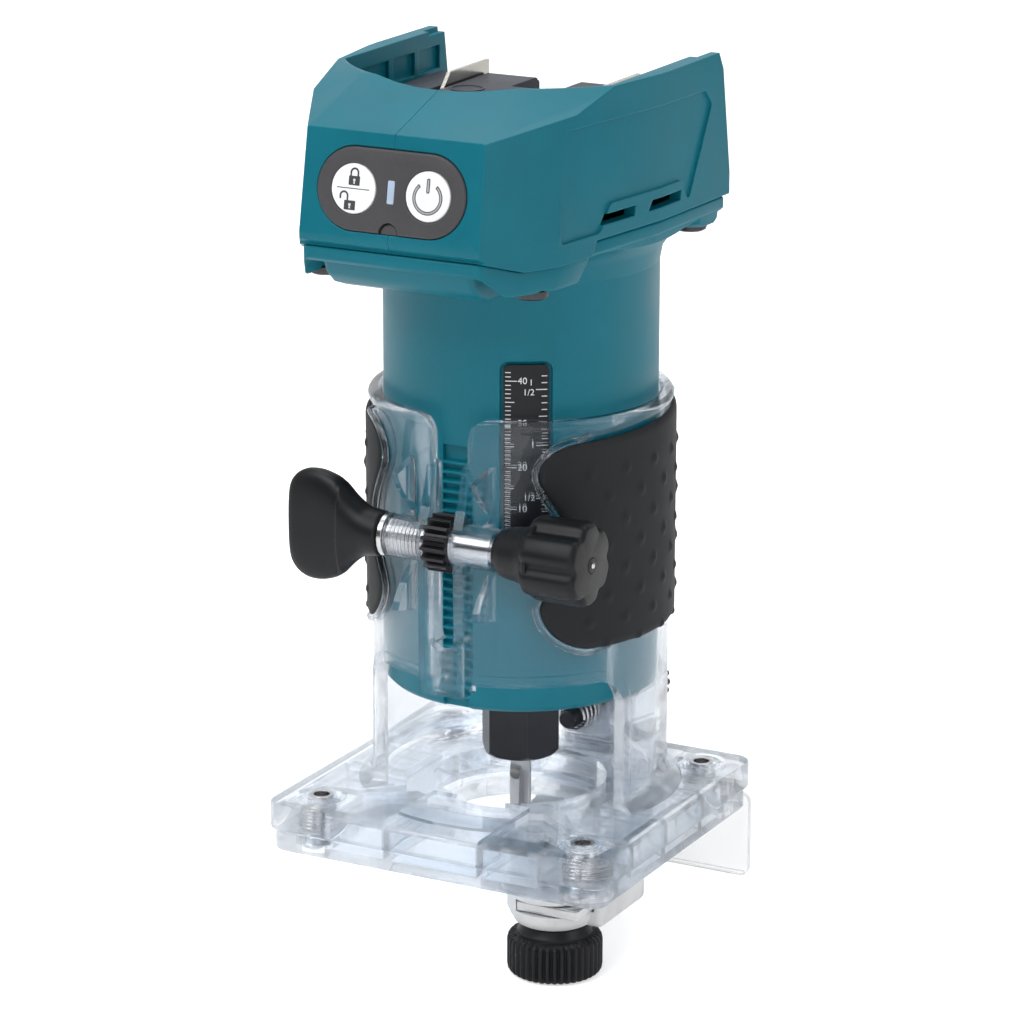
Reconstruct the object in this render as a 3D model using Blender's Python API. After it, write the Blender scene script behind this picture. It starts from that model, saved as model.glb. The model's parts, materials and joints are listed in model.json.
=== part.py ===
"""Cordless trim router with a clear base, an edge guide and an open battery bay.

Every number is in millimetres while a shape is being made; place() turns the finished
mesh into metres. The origin is on the motor axis in the plane of the base's underside.
+Z is up, -Y is the front (switch panel and depth knobs) and +X is the user's right.
"""

from math import cos, pi, radians, sin, sqrt

import bmesh
import bpy
from mathutils import Matrix, Vector

MM = 0.001
GAP = 0.3  # clearance between neighbouring pieces
RUNNING = 0.08  # clearance between a shaft and its bore

# Sides of a round shape
LARGE = 44
MEDIUM = 20
SMALL = 12

# Base plate and sleeve
BASE_HALF_X = 45.0
BASE_FRONT_Y = -46.0
BASE_REAR_Y = 38.0
BASE_CORNER_R = 4.5
PROTECTOR_TOP_Z = 5.0
PLATE_LOW_Z = PROTECTOR_TOP_Z + GAP
PLATE_TOP_Z = 12.2
PLATE_SKIN = 2.4
CUTTER_HOLE_R = 19.0
PLATE_HOLE_R = 21.0
SLEEVE_INNER_R = 32.9
SLEEVE_OUTER_R = 35.4
SLEEVE_RIM_Z = 109.8
WINDOW_TOP_Z = 46.0
WINDOW_HALF_ANGLE = 58.5
WINDOW_TURN = 11.5  # degrees the opening is turned towards the right leg
SPLIT_HALF_X = 3.4
GRIP_LOW_Z = 54.6
GRIP_TOP_Z = 104.4
GRIP_START = 34.6  # degrees from the front
GRIP_END = 134.0
GRIP_LIFT = 0.6  # from the sleeve to the grip's inner face
GRIP_THICK = 2.6  # from the sleeve to the grip's outer face
BASE_SCREWS = [(-35.0, -35.5), (35.0, -35.5), (-35.0, 28.4), (35.0, 28.4)]

# Depth adjustment
TOOTH_MODULE = 0.75
PINION_TEETH = 16
RACK_PITCH_Y = -31.6
SHAFT_Y = RACK_PITCH_Y - TOOTH_MODULE * PINION_TEETH / 2 - 0.1
SHAFT_Z = 80.6
SHAFT_R = 3.0
EAR_OUTER_X = 13.8

# Motor unit
MOTOR_R = 32.5
MOTOR_LOW_Z = 38.8
SEAM_Z = 153.9
FLANGE_LOW_Z = 150.0
RACK_TOP_Z = 102.0
SCALE_ANGLES = (20.6, 39.0)
SCALE_TOP_Z = 122.6
SCALE_LOW_Z = 73.5
SPINDLE_R = 4.0
FAN_BLADES = 7
NUT_LOW_Z = 18.4
NUT_TOP_Z = 34.2

# Head
HEAD_LOW_Z = SEAM_Z + GAP
RIDGE_Z = 180.0
RIDGE_Y = -59.8
BAY_RIM_Z = 186.7
BAY_RIM_Y = -40.0
RAIL_TOP_Z = 188.0
BAY_HALF_X = 34.4
BAY_FLOOR_Z = 171.5
HEAD_WALL = 2.5
HEAD_SCREWS = [(-26.4, -45.4), (26.4, -45.4), (-33.2, 22.0), (33.2, 22.0)]
CORNER_FOOT = [(21.3, -66.0), (28.4, -52.6), (32.6, -44.6)]  # corner facets, seen from above
CORNER_LEAN = 0.087  # how far they come in per millimetre of height
LEAN_FROM_Z = 157.0
PANEL_LOW = Vector((0.0, -63.4, 158.0))
PANEL_HIGH = Vector((0.0, -60.0, 178.0))
PANEL_CENTRE_Z = 167.5
BEZEL_HALF = (18.75, 9.35)
BUTTON_X = 9.4
BUTTON_R = 5.6

# Edge guide
CLAMP_AXIS_Z = 18.4
ARM_Y = 46.6
ARM_THICK = 2.5
STRIP_TOP_Z = -4.0
GUIDE_KNOB = (24.5, -29.0)
BRACKET_SCREW = (1.0, 38.0)
SHIELD_SCREWS_X = (-4.5, 7.5)
SHIELD_SCREW_Z = -10.4
ROLLER = (9.5, -12.0)
HOLDER_LOW_Z = -10.8

COLOURS = {
    "teal_plastic": ((0.0, 0.19, 0.23), 0.45, 0.0),
    "clear_plastic": ((0.86, 0.92, 0.97), 0.08, 0.0),
    "clear_shield": ((0.93, 0.95, 0.96), 0.2, 0.0),
    "black_rubber": ((0.02, 0.021, 0.024), 0.7, 0.0),
    "black_plastic": ((0.018, 0.018, 0.02), 0.5, 0.0),
    "panel_grey": ((0.07, 0.07, 0.075), 0.55, 0.0),
    "button_white": ((0.82, 0.83, 0.84), 0.4, 0.0),
    "window_blue": ((0.45, 0.55, 0.68), 0.2, 0.0),
    "terminal_grey": ((0.09, 0.095, 0.105), 0.6, 0.0),
    "scale_black": ((0.02, 0.022, 0.025), 0.4, 0.0),
    "bright_steel": ((0.62, 0.62, 0.63), 0.25, 1.0),
    "dark_steel": ((0.05, 0.05, 0.055), 0.35, 0.9),
    "black_oxide": ((0.016, 0.016, 0.018), 0.38, 0.6),
    "cast_aluminium": ((0.66, 0.66, 0.65), 0.5, 0.9),
    "cutter_steel": ((0.3, 0.29, 0.28), 0.35, 0.9),
    "copper_winding": ((0.55, 0.22, 0.08), 0.4, 0.8),
    "green_board": ((0.02, 0.16, 0.07), 0.5, 0.0),
    "nickel_contact": ((0.7, 0.67, 0.6), 0.25, 1.0),
}


# ---------------------------------------------------------------- shape helpers


def clear_scene():
    for obj in list(bpy.data.objects):
        bpy.data.objects.remove(obj, do_unlink=True)


def material(name):
    found = bpy.data.materials.get(name)
    if found:
        return found
    colour, roughness, metallic = COLOURS[name]
    made = bpy.data.materials.new(name)
    made.use_nodes = True
    shader = made.node_tree.nodes["Principled BSDF"]
    shader.inputs["Base Color"].default_value = (*colour, 1.0)
    shader.inputs["Roughness"].default_value = roughness
    shader.inputs["Metallic"].default_value = metallic
    if name.startswith("clear"):
        shader.inputs["Transmission Weight"].default_value = 1.0
    made.diffuse_color = (*colour, 1.0)
    return made


def object_of(bm, label="shape"):
    """A new object from a bmesh, with doubled points merged and its faces pointing out."""
    bmesh.ops.remove_doubles(bm, verts=bm.verts, dist=1e-4)
    bmesh.ops.recalc_face_normals(bm, faces=bm.faces)
    mesh = bpy.data.meshes.new(label)
    bm.to_mesh(mesh)
    bm.free()
    obj = bpy.data.objects.new(label, mesh)
    bpy.context.scene.collection.objects.link(obj)
    return obj


def prism(outline, low, high):
    """The closed outline of (x, y) points, extruded from low to high along Z."""
    bm = bmesh.new()
    face = bm.faces.new([bm.verts.new((x, y, low)) for x, y in outline])
    grown = bmesh.ops.extrude_face_region(bm, geom=[face])["geom"]
    top = [item for item in grown if isinstance(item, bmesh.types.BMVert)]
    bmesh.ops.translate(bm, verts=top, vec=(0, 0, high - low))
    return object_of(bm)


def lofted(outline, stations):
    """The outline skinned through (scale, z) stations along Z."""
    bm = bmesh.new()
    rings = [[bm.verts.new((x * k, y * k, z)) for x, y in outline] for k, z in stations]
    for lower, upper in zip(rings, rings[1:]):
        for i in range(len(outline)):
            bm.faces.new((lower[i - 1], lower[i], upper[i], upper[i - 1]))
    bm.faces.new(rings[0])
    bm.faces.new(rings[-1])
    return object_of(bm)


def box(low, high):
    outline = [(low[0], low[1]), (high[0], low[1]), (high[0], high[1]), (low[0], high[1])]
    return prism(outline, low[2], high[2])


def turned(profile, steps=MEDIUM):
    """The closed profile of (radius, z) points, turned once round Z."""
    bm = bmesh.new()
    points = [bm.verts.new((r, 0, z)) for r, z in profile]
    edges = [
        bm.edges.new((points[i - 1], points[i]))
        for i in range(len(points))
        if profile[i - 1][0] > 0 or profile[i][0] > 0
    ]
    bmesh.ops.spin(
        bm, geom=points + edges, cent=(0, 0, 0), axis=(0, 0, 1), angle=2 * pi,
        steps=steps, use_merge=True,
    )
    return object_of(bm)


def cylinder(radius, low, high, steps=SMALL):
    return turned([(0, low), (radius, low), (radius, high), (0, high)], steps)


def tube(inner, outer, low, high, steps=MEDIUM):
    return turned([(inner, low), (outer, low), (outer, high), (inner, high)], steps)


def moved(obj, matrix):
    obj.data.transform(matrix)
    return obj


def shift(obj, x, y, z=0.0):
    return moved(obj, Matrix.Translation((x, y, z)))


def along_x(obj, x, y, z):
    """Lays a shape made round Z along +X, with its origin at (x, y, z)."""
    return moved(obj, Matrix.Translation((x, y, z)) @ Matrix.Rotation(pi / 2, 4, "Y"))


def along_y(obj, x, y, z):
    """Lays a shape made round Z along +Y, with its origin at (x, y, z)."""
    return moved(obj, Matrix.Translation((x, y, z)) @ Matrix.Rotation(-pi / 2, 4, "X"))


def side_plate(profile, low_x, high_x):
    """A (y, z) profile extruded along X."""
    plate = prism(profile, low_x, high_x)
    turn = Matrix(((0, 0, 1, 0), (1, 0, 0, 0), (0, 1, 0, 0), (0, 0, 0, 1)))
    return moved(plate, turn)


def upright(outline, low_y, high_y):
    """An (x, z) outline extruded along Y."""
    plate = prism(outline, -high_y, -low_y)
    return moved(plate, Matrix(((1, 0, 0, 0), (0, 0, -1, 0), (0, 1, 0, 0), (0, 0, 0, 1))))


def polar(radius, degrees):
    """A point at this angle from the front (-Y), counted towards +X."""
    angle = radians(degrees)
    return (radius * sin(angle), -radius * cos(angle))


def arc(centre, radius, start, end, steps):
    """Points on a circle, by ordinary angle from +X in degrees."""
    angles = [radians(start + (end - start) * i / steps) for i in range(steps + 1)]
    return [(centre[0] + radius * cos(a), centre[1] + radius * sin(a)) for a in angles]


def rounded_rectangle(low, high, radius, steps=4):
    corners = [
        ((high[0] - radius, high[1] - radius), 0),
        ((low[0] + radius, high[1] - radius), 90),
        ((low[0] + radius, low[1] + radius), 180),
        ((high[0] - radius, low[1] + radius), 270),
    ]
    points = []
    for centre, start in corners:
        points += arc(centre, radius, start, start + 90, steps)
    return points


def sector(inner, outer, start, end, low, high, steps=12):
    """A piece of a round wall between two angles from the front."""
    angles = [start + (end - start) * i / steps for i in range(steps + 1)]
    outline = [polar(outer, a) for a in angles] + [polar(inner, a) for a in reversed(angles)]
    return prism(outline, low, high)


def mirrored(half):
    """A whole outline from its right half, given from the front to the rear."""
    return half + [(-x, y) for x, y in reversed(half) if x > 1e-6]


def combine(body, operation, tools):
    """Applies one Boolean for each tool and removes the tools."""
    for tool in tools:
        step = body.modifiers.new(operation, "BOOLEAN")
        step.operation = operation
        step.solver = "EXACT"
        step.object = tool
        tool.hide_render = True
        tool.display_type = "WIRE"
    bake(body)
    for tool in tools:
        bpy.data.objects.remove(tool, do_unlink=True)
    return body


def bake(body):
    graph = bpy.context.evaluated_depsgraph_get()
    graph.update()
    mesh = bpy.data.meshes.new_from_object(body.evaluated_get(graph))
    body.modifiers.clear()
    bm = bmesh.new()
    bm.from_mesh(mesh)
    bmesh.ops.remove_doubles(bm, verts=bm.verts, dist=1e-3)
    bmesh.ops.dissolve_degenerate(bm, edges=bm.edges, dist=1e-3)
    bm.to_mesh(mesh)
    bm.free()
    body.data = mesh


def join(body, *tools):
    return combine(body, "UNION", tools)


def cut(body, *tools):
    return combine(body, "DIFFERENCE", tools)


def keep(body, tool):
    return combine(body, "INTERSECT", [tool])


def bevelled(body, width, segments=1, angle=30):
    step = body.modifiers.new("edges", "BEVEL")
    step.width = width
    step.segments = segments
    step.limit_method = "ANGLE"
    step.angle_limit = radians(angle)
    bake(body)
    return body


def place(body, name, finish, origin=(0.0, 0.0, 0.0), parent=None):
    """Turns a shape made in millimetres into a named part with its origin on its axis."""
    body.data.transform(Matrix.Scale(MM, 4) @ Matrix.Translation(-Vector(origin)))
    body.name = name
    body.data.name = name
    body.data.materials.clear()
    body.data.materials.append(material(finish))
    body.data.shade_smooth()
    body.data.set_sharp_from_angle(angle=radians(35))
    body.location = Vector(origin) * MM
    if parent:
        body.parent = parent
        body.matrix_parent_inverse = Matrix.Translation(-parent.location)
    return body


def axis_empty(name, origin, parent=None):
    empty = bpy.data.objects.new(name, None)
    bpy.context.scene.collection.objects.link(empty)
    empty.location = Vector(origin) * MM
    empty.empty_display_size = 0.02
    empty.parent = parent
    return empty


# ---------------------------------------------------------------- base


def plate_outline(inset):
    low = (-BASE_HALF_X + inset, BASE_FRONT_Y + inset)
    high = (BASE_HALF_X - inset, BASE_REAR_Y - inset)
    return rounded_rectangle(low, high, BASE_CORNER_R - inset * 0.5)


def pocket_outlines():
    """The hollows under the base plate, between its ribs, at the four sides of the hole."""
    front = BASE_FRONT_Y + 2.6
    side = BASE_HALF_X - 2.6
    half = [
        [(13.5, front), (27.5, front), (27.5, -27.0), (17.0, -20.5), (13.5, -22.0)],
        [(29.5, -27.0), (side, -27.0), (side, -11.0), (25.5, -11.0), (21.5, -18.0)],
        [(26.5, -9.0), (side, -9.0), (side, 9.0), (26.5, 9.0)],
        [(25.5, 11.0), (side, 11.0), (side, 20.0), (20.0, 20.0), (21.5, 16.0)],
        [(13.5, 22.0), (27.0, 22.0), (27.0, BASE_REAR_Y - 2.6), (13.5, BASE_REAR_Y - 2.6)],
    ]
    middle = [
        [(-11.5, front), (11.5, front), (11.5, -24.5), (-11.5, -24.5)],
        [(-11.5, 24.5), (11.5, 24.5), (11.5, BASE_REAR_Y - 2.6), (-11.5, BASE_REAR_Y - 2.6)],
    ]
    left = [[(-x, y) for x, y in reversed(outline)] for outline in half]
    return half + left + middle


def base_plate():
    plate = bevelled(prism(plate_outline(0), PLATE_LOW_Z, PLATE_TOP_Z), 0.6, 2, 60)
    hollows = [
        prism(outline, PLATE_LOW_Z - 1, PLATE_TOP_Z - PLATE_SKIN) for outline in pocket_outlines()
    ]
    cut(plate, *hollows)
    recess = prism([(-13, -60), (13, -60), (13, -20), (-13, -20)], PLATE_TOP_Z - 1.2, 20)
    posts = [
        shift(cylinder(3.6 + RUNNING + 0.1, PLATE_LOW_Z - 1, PLATE_TOP_Z + 1), x, y)
        for x, y in BASE_SCREWS
    ]
    hole = cylinder(PLATE_HOLE_R, 0, 30, LARGE)
    return cut(plate, recess, hole, *posts)


def sleeve_tube():
    sleeve = turned(
        [
            (SLEEVE_INNER_R - 1.5, PLATE_TOP_Z - 0.6),
            (38.6, PLATE_TOP_Z - 0.6),
            (38.2, PLATE_TOP_Z + 2.0),
            (SLEEVE_OUTER_R, PLATE_TOP_Z + 3.6),
            (SLEEVE_OUTER_R, SLEEVE_RIM_Z - 2.7),
            (SLEEVE_OUTER_R + 0.7, SLEEVE_RIM_Z - 2.0),
            (SLEEVE_OUTER_R + 0.7, SLEEVE_RIM_Z - 0.6),
            (SLEEVE_OUTER_R, SLEEVE_RIM_Z),
            (SLEEVE_INNER_R - 1.5, SLEEVE_RIM_Z),
        ],
        LARGE,
    )
    return cut(sleeve, window_cutter())


def window_cutter():
    """The opening round the cutter between the two front legs, with rounded top corners."""
    reach = SLEEVE_OUTER_R * radians(WINDOW_HALF_ANGLE)
    corner = 7.0
    flat = rounded_rectangle((-reach, -10), (reach, WINDOW_TOP_Z), corner, 5)
    flat = [(x, max(z, PLATE_TOP_Z)) for x, z in flat]
    outline = []
    for point in flat:
        if not outline or (Vector(point) - Vector(outline[-1])).length > 0.01:
            outline.append(point)
    opening = wrapped(outline, 28.0, 44.0, 7)
    return moved(opening, Matrix.Rotation(radians(WINDOW_TURN), 4, "Z"))


def wrapped(outline, inner, outer, columns):
    """An outline of (arc length at the sleeve, z) bent round the motor axis."""
    wide = max(x for x, _ in outline)
    flat = prism(outline, 0.0, outer - inner)
    slices = flat.data
    bm = bmesh.new()
    bm.from_mesh(slices)
    for i in range(1, 2 * columns):
        x = -wide + wide * i / columns
        bmesh.ops.bisect_plane(
            bm, geom=bm.verts[:] + bm.edges[:] + bm.faces[:], plane_co=(x, 0, 0),
            plane_no=(1, 0, 0), dist=1e-4,
        )
    bmesh.ops.triangulate(bm, faces=bm.faces)
    for vert in bm.verts:
        angle = vert.co.x / SLEEVE_OUTER_R
        radius = inner + vert.co.z
        vert.co = (radius * sin(angle), -radius * cos(angle), vert.co.y)
    bpy.data.objects.remove(flat, do_unlink=True)
    return object_of(bm)


def split_cutter():
    """The clamp's slot, with the rim's corners rounded away above the ears."""
    outline = [(SPLIT_HALF_X, 97.0), (SPLIT_HALF_X, 98.4), (4.6, 99.2), (4.6, 104.0)]
    outline += arc((9.6, 104.8), 5.0, 180, 90, 5)
    outline += [(9.6, 120.0)]
    whole = outline + [(-x, z) for x, z in reversed(outline)]
    return upright(whole, -50, -25)


def ear_profile(inner_y):
    """The clamp ear from the side, as (y, z): a boss round the shaft, tapering both ways."""
    boss = arc((SHAFT_Y, SHAFT_Z), 5.0, 120, 240, 8)
    above = [(inner_y, 98.0), (-35.6, 98.0), (-37.2, 92.0)]
    below = [(-40.0, 69.0), (-40.0, 44.0), (inner_y, 44.0)]
    return above + boss + below


def clamp_ears():
    """Both ears and their bosses as one block, to be parted by the slot, and the gussets."""
    width = SPLIT_HALF_X + 2.4
    shapes = [
        side_plate(ear_profile(-33.4), -width, width),
        along_x(cylinder(5.0, -EAR_OUTER_X, EAR_OUTER_X, MEDIUM), 0, SHAFT_Y, SHAFT_Z),
    ]
    return shapes + [gusset(side, height) for side in (-1, 1) for height in (-1, 1)]


def slot_cutters():
    """The gap between the ears, closed in front below the pinion by a bridge."""
    rim = split_cutter()
    between = box((-SPLIT_HALF_X, -60, 55.0), (SPLIT_HALF_X, -25, 99.0))
    behind = box((-SPLIT_HALF_X, -37.4, 38.0), (SPLIT_HALF_X, -25, 56.0))
    return rim, between, behind


def gusset(side, height):
    """A thin web from the boss to the sleeve, above (1) or below (-1) the shaft."""
    outline = [(SHAFT_Y - 2.5, SHAFT_Z + height * 3), (-31.8, SHAFT_Z + height * 3),
               (-31.8, SHAFT_Z + height * 17), (-34.6, SHAFT_Z + height * 15)]
    low, high = sorted((side * 9.6, side * 11.4))
    return side_plate(outline, low, high)


def clamp_boss():
    """The block at the back of the sleeve that carries the edge guide's clamp screw."""
    return box((-7.5, 34.0, PLATE_LOW_Z + 0.7), (7.5, ARM_Y - GAP, 27.0))


def base():
    body = join(sleeve_tube(), base_plate(), clamp_boss())
    for shape in clamp_ears():
        join(body, shape)
    bore = along_x(cylinder(SHAFT_R + RUNNING, 0, 40, MEDIUM), -20, SHAFT_Y, SHAFT_Z)
    clamp_bore = along_y(cylinder(2.5 + RUNNING + 0.1, 0, 40), 0, 26, CLAMP_AXIS_Z)
    spring_bore = along_y(cylinder(4.6, 0, 12), 0, 26, CLAMP_AXIS_Z)
    inside = turned(
        [(0, PLATE_TOP_Z + 0.4), (SLEEVE_INNER_R, PLATE_TOP_Z + 0.4),
         (SLEEVE_INNER_R, SLEEVE_RIM_Z - 0.8), (SLEEVE_INNER_R + 1.2, SLEEVE_RIM_Z + 0.4),
         (0, SLEEVE_RIM_Z + 0.4)], LARGE)
    cut(body, inside)
    cut(body, *slot_cutters())
    cut(body, bore, clamp_bore, spring_bore)
    return place(body, "base", "clear_plastic")


def base_protector():
    body = bevelled(prism(plate_outline(1.0), 0, PROTECTOR_TOP_Z), 0.5, 2, 60)
    hollows = [prism(outline, 2.2, PROTECTOR_TOP_Z + 1) for outline in pocket_outlines()]
    cut(body, *hollows)
    holes = []
    for x, y in BASE_SCREWS:
        holes.append(shift(cylinder(2.2, -1, 8), x, y))
        holes.append(shift(turned([(0, -1), (4.6, -1), (4.6, 1.4), (2.2, 3.2), (0, 3.2)], SMALL), x, y))
    cut(body, cylinder(CUTTER_HOLE_R, -1, 8, LARGE), *holes)
    return place(body, "base_protector", "clear_plastic")


def base_screw(index, x, y):
    """A countersunk screw from below, in the plate's metal insert."""
    body = turned([(0, 0.4), (4.1, 0.4), (4.1, 1.1), (1.75, 3.2), (1.75, 10.4), (0, 10.4)], SMALL)
    socket = cylinder(1.2, -1, 1.6, 6)
    cut(body, socket)
    shift(body, x, y)
    return place(body, f"base_screw_{index}", "bright_steel", (x, y, 0))


def base_insert(index, x, y):
    """The threaded steel bush moulded into the plate."""
    body = turned(
        [(1.9, PLATE_LOW_Z + 0.1), (3.6, PLATE_LOW_Z + 0.1), (3.6, 10.2), (2.9, 10.2),
         (2.9, PLATE_TOP_Z + 0.3), (1.9, PLATE_TOP_Z + 0.3)], SMALL)
    shift(body, x, y)
    return place(body, f"base_insert_{index}", "bright_steel", (x, y, 0))


def grip_edge(z):
    """The angle from the front at which the grip begins, waisted beside the clamp."""
    along = min(max((z - SHAFT_Z) / 15.5, -1), 1)
    waist = 11.0 * (0.5 + 0.5 * cos(pi * along)) ** 0.7
    low = min(max(0.0, GRIP_LOW_Z + 11.5 - z) / 11.5, 1)
    high = min(max(0.0, z - GRIP_TOP_Z + 6.5) / 6.5, 1)
    corners = 22.0 * (1 - sqrt(1 - low**2)) + 16.0 * (1 - sqrt(1 - high**2))
    return GRIP_START + waist + corners


def grip(side, name):
    """A rubber pad on the sleeve, as a bent sheet of even thickness."""
    rows, columns = 10, 8
    bm = bmesh.new()
    sheets = []
    for radius in (SLEEVE_OUTER_R + GRIP_LIFT, SLEEVE_OUTER_R + GRIP_THICK):
        sheet = []
        for i in range(rows + 1):
            share = 0.5 - 0.5 * cos(pi * i / rows)
            level = GRIP_LOW_Z + (GRIP_TOP_Z - GRIP_LOW_Z) * share
            start = grip_edge(level)
            back = GRIP_END - 0.5 * (start - GRIP_START)
            line = []
            for j in range(columns + 1):
                along = j / columns
                tilt = 2.4 * along * share
                x, y = polar(radius, start + (back - start) * along)
                line.append(bm.verts.new((side * x, y, level + tilt)))
            sheet.append(line)
        sheets.append(sheet)
    inner, outer = sheets
    for sheet in sheets:
        for i in range(rows):
            for j in range(columns):
                bm.faces.new((sheet[i][j], sheet[i][j + 1], sheet[i + 1][j + 1], sheet[i + 1][j]))
    border = [(i, 0) for i in range(rows)] + [(rows, j) for j in range(columns)]
    border += [(i, columns) for i in range(rows, 0, -1)] + [(0, j) for j in range(columns, 0, -1)]
    for (a, b), (c, d) in zip(border, border[1:] + border[:1]):
        bm.faces.new((inner[a][b], inner[c][d], outer[c][d], outer[a][b]))
    return place(object_of(bm), name, "black_rubber")


# ---------------------------------------------------------------- depth adjustment


def gear_outline(teeth, module, backlash=0.93):
    pitch_r = teeth * module / 2
    tip, root = pitch_r + module, pitch_r - 1.2 * module
    quarter = 90.0 / teeth * backlash
    slope = quarter * 0.45
    points = []
    for i in range(teeth):
        middle = 360.0 * i / teeth + 90.0
        for radius, offset in ((root, -quarter - slope), (tip, -quarter + slope),
                               (tip, quarter - slope), (root, quarter + slope)):
            angle = radians(middle + offset)
            points.append((radius * cos(angle), radius * sin(angle)))
    return points


def adjust_pinion(parent):
    """A 16-tooth pinion with one tooth pointing straight at the rack."""
    body = prism(gear_outline(PINION_TEETH, TOOTH_MODULE), -3.0, 3.0)
    cut(body, cylinder(SHAFT_R + 0.1, -5, 5))
    along_x(body, 0, SHAFT_Y, SHAFT_Z)
    return place(body, "adjust_pinion", "black_oxide", (0, SHAFT_Y, SHAFT_Z), parent)


def adjust_shaft(parent):
    profile = [(0, -31.0), (2.7, -31.0), (2.7, -15.4), (SHAFT_R, -15.4),
               (SHAFT_R, 14.6), (2.4, 15.2), (2.4, 30.0), (0, 30.0)]
    body = along_x(turned(profile), 0, SHAFT_Y, SHAFT_Z)
    return place(body, "adjust_shaft", "bright_steel", (0, SHAFT_Y, SHAFT_Z), parent)


def lobed(radius, depth, lobes, low, high, steps=36):
    """A knob body whose outline waves in and out, with chamfered ends."""
    outline = []
    for i in range(steps):
        angle = 2 * pi * i / steps
        r = radius - depth * (0.5 - 0.5 * cos(lobes * angle)) ** 3
        outline.append((r * cos(angle), r * sin(angle)))
    return lofted(outline, [(0.92, low), (1, low + 0.8), (1, high - 0.8), (0.92, high)])


def adjust_knob(parent):
    neck = turned(
        [(0, 0), (4.9, 0), (6.3, 3.2), (6.6, 7.5), (9.2, 9.6), (9.2, 11), (0, 11)], MEDIUM)
    body = lobed(9.9, 1.4, 6, 9.2, 23.6)
    join(neck, body)
    cut(neck, cylinder(3.3, -1, 1.5), cylinder(2.6, 1, 16.0), cylinder(1.9, 10, 30),
        cylinder(3.1, 21.6, 30))
    along_x(neck, 14.4, SHAFT_Y, SHAFT_Z)
    return place(neck, "adjust_knob", "black_plastic", (14.4, SHAFT_Y, SHAFT_Z), parent)


def knob_screw(parent):
    """The small screw in the knob's end that holds it on the shaft."""
    body = turned([(0, 16.0), (1.6, 16.0), (1.6, 21.8), (2.7, 21.8), (2.7, 23.2), (0, 23.2)])
    cut(body, box((-2, -0.3, 22.4), (2, 0.3, 25)))
    along_x(body, 14.4, SHAFT_Y, SHAFT_Z)
    return place(body, "knob_screw", "bright_steel", (14.4, SHAFT_Y, SHAFT_Z), parent)


def clamp_wing_knob():
    """The wing nut on the shaft's left end: a round neck spreading into an upright paddle."""
    stations = [  # distance out, half height, half thickness
        (0.0, 5.4, 5.4), (1.5, 5.6, 5.6), (5.0, 6.2, 5.2), (9.0, 8.8, 4.6), (12.5, 11.6, 4.0),
        (16.0, 13.3, 3.5), (20.0, 13.4, 3.2), (23.4, 11.8, 3.0), (25.2, 9.2, 2.5),
    ]
    around = 24
    bm = bmesh.new()
    rings = []
    for out, tall, thick in stations:
        power = 2.0 + min(out / 8.0, 1.0)
        ring = []
        for i in range(around):
            angle = 2 * pi * i / around
            c, s = cos(angle), sin(angle)
            y = thick * (abs(c) ** (2 / power)) * (1 if c >= 0 else -1)
            z = tall * (abs(s) ** (2 / power)) * (1 if s >= 0 else -1)
            ring.append(bm.verts.new((-EAR_OUTER_X - 1.9 - out, SHAFT_Y + y, SHAFT_Z + z)))
        rings.append(ring)
    for a, b in zip(rings, rings[1:]):
        for i in range(around):
            bm.faces.new((a[i - 1], a[i], b[i], b[i - 1]))
    bm.faces.new(rings[0])
    bm.faces.new(rings[-1])
    body = object_of(bm)
    cut(body, along_x(cylinder(3.0, 0, 17), -EAR_OUTER_X - 17.8, SHAFT_Y, SHAFT_Z))
    origin = (-EAR_OUTER_X - 1.9, SHAFT_Y, SHAFT_Z)
    return place(body, "clamp_wing_knob", "black_plastic", origin)


def clamp_washer(parent):
    body = tube(SHAFT_R + RUNNING, 5.2, 0, 1.1)
    along_x(body, -EAR_OUTER_X - 1.5, SHAFT_Y, SHAFT_Z)
    return place(body, "clamp_washer", "bright_steel", (0, SHAFT_Y, SHAFT_Z), parent)


# ---------------------------------------------------------------- motor unit


def head_half_outline(inset=0.0, front=-66.0, rear=30.0):
    """The head seen from above: right half, from the front centre to the rear."""
    (first_x, first_y), (second_x, second_y), (third_x, third_y) = CORNER_FOOT
    along = (second_x - first_x) / (second_y - first_y)
    corner = first_x + along * (front - first_y) - inset * 1.13
    return [
        (0, front), (corner, front), (second_x - inset * 0.9, second_y + inset * 0.47),
        (third_x - inset, third_y + inset * 0.2), (38.3 - inset, -4.0), (39.4 - inset, rear),
        (0, rear),
    ]


def rack():
    """Straight teeth down the front of the motor housing, as (y, z) zigzag."""
    pitch = pi * TOOTH_MODULE
    tip, root = RACK_PITCH_Y - TOOTH_MODULE, RACK_PITCH_Y + 1.2 * TOOTH_MODULE
    half, slope = pitch * 0.235, pitch * 0.11
    count = int((SHAFT_Z - MOTOR_LOW_Z) / pitch)
    first = SHAFT_Z - (count - 0.5) * pitch
    total = int((RACK_TOP_Z - first) / pitch)
    profile = [(root + 1.2, first - half - slope - 0.5), (root, first - half - slope - 0.5)]
    for i in range(total):
        middle = first + i * pitch
        profile += [(root, middle - half - slope), (tip, middle - half + slope),
                    (tip, middle + half - slope), (root, middle + half + slope)]
    last = profile[-1][1] + 0.5
    profile += [(root, last), (root + 1.2, last)]
    return side_plate(profile, -SPLIT_HALF_X - 0.4, SPLIT_HALF_X + 0.4)


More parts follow.
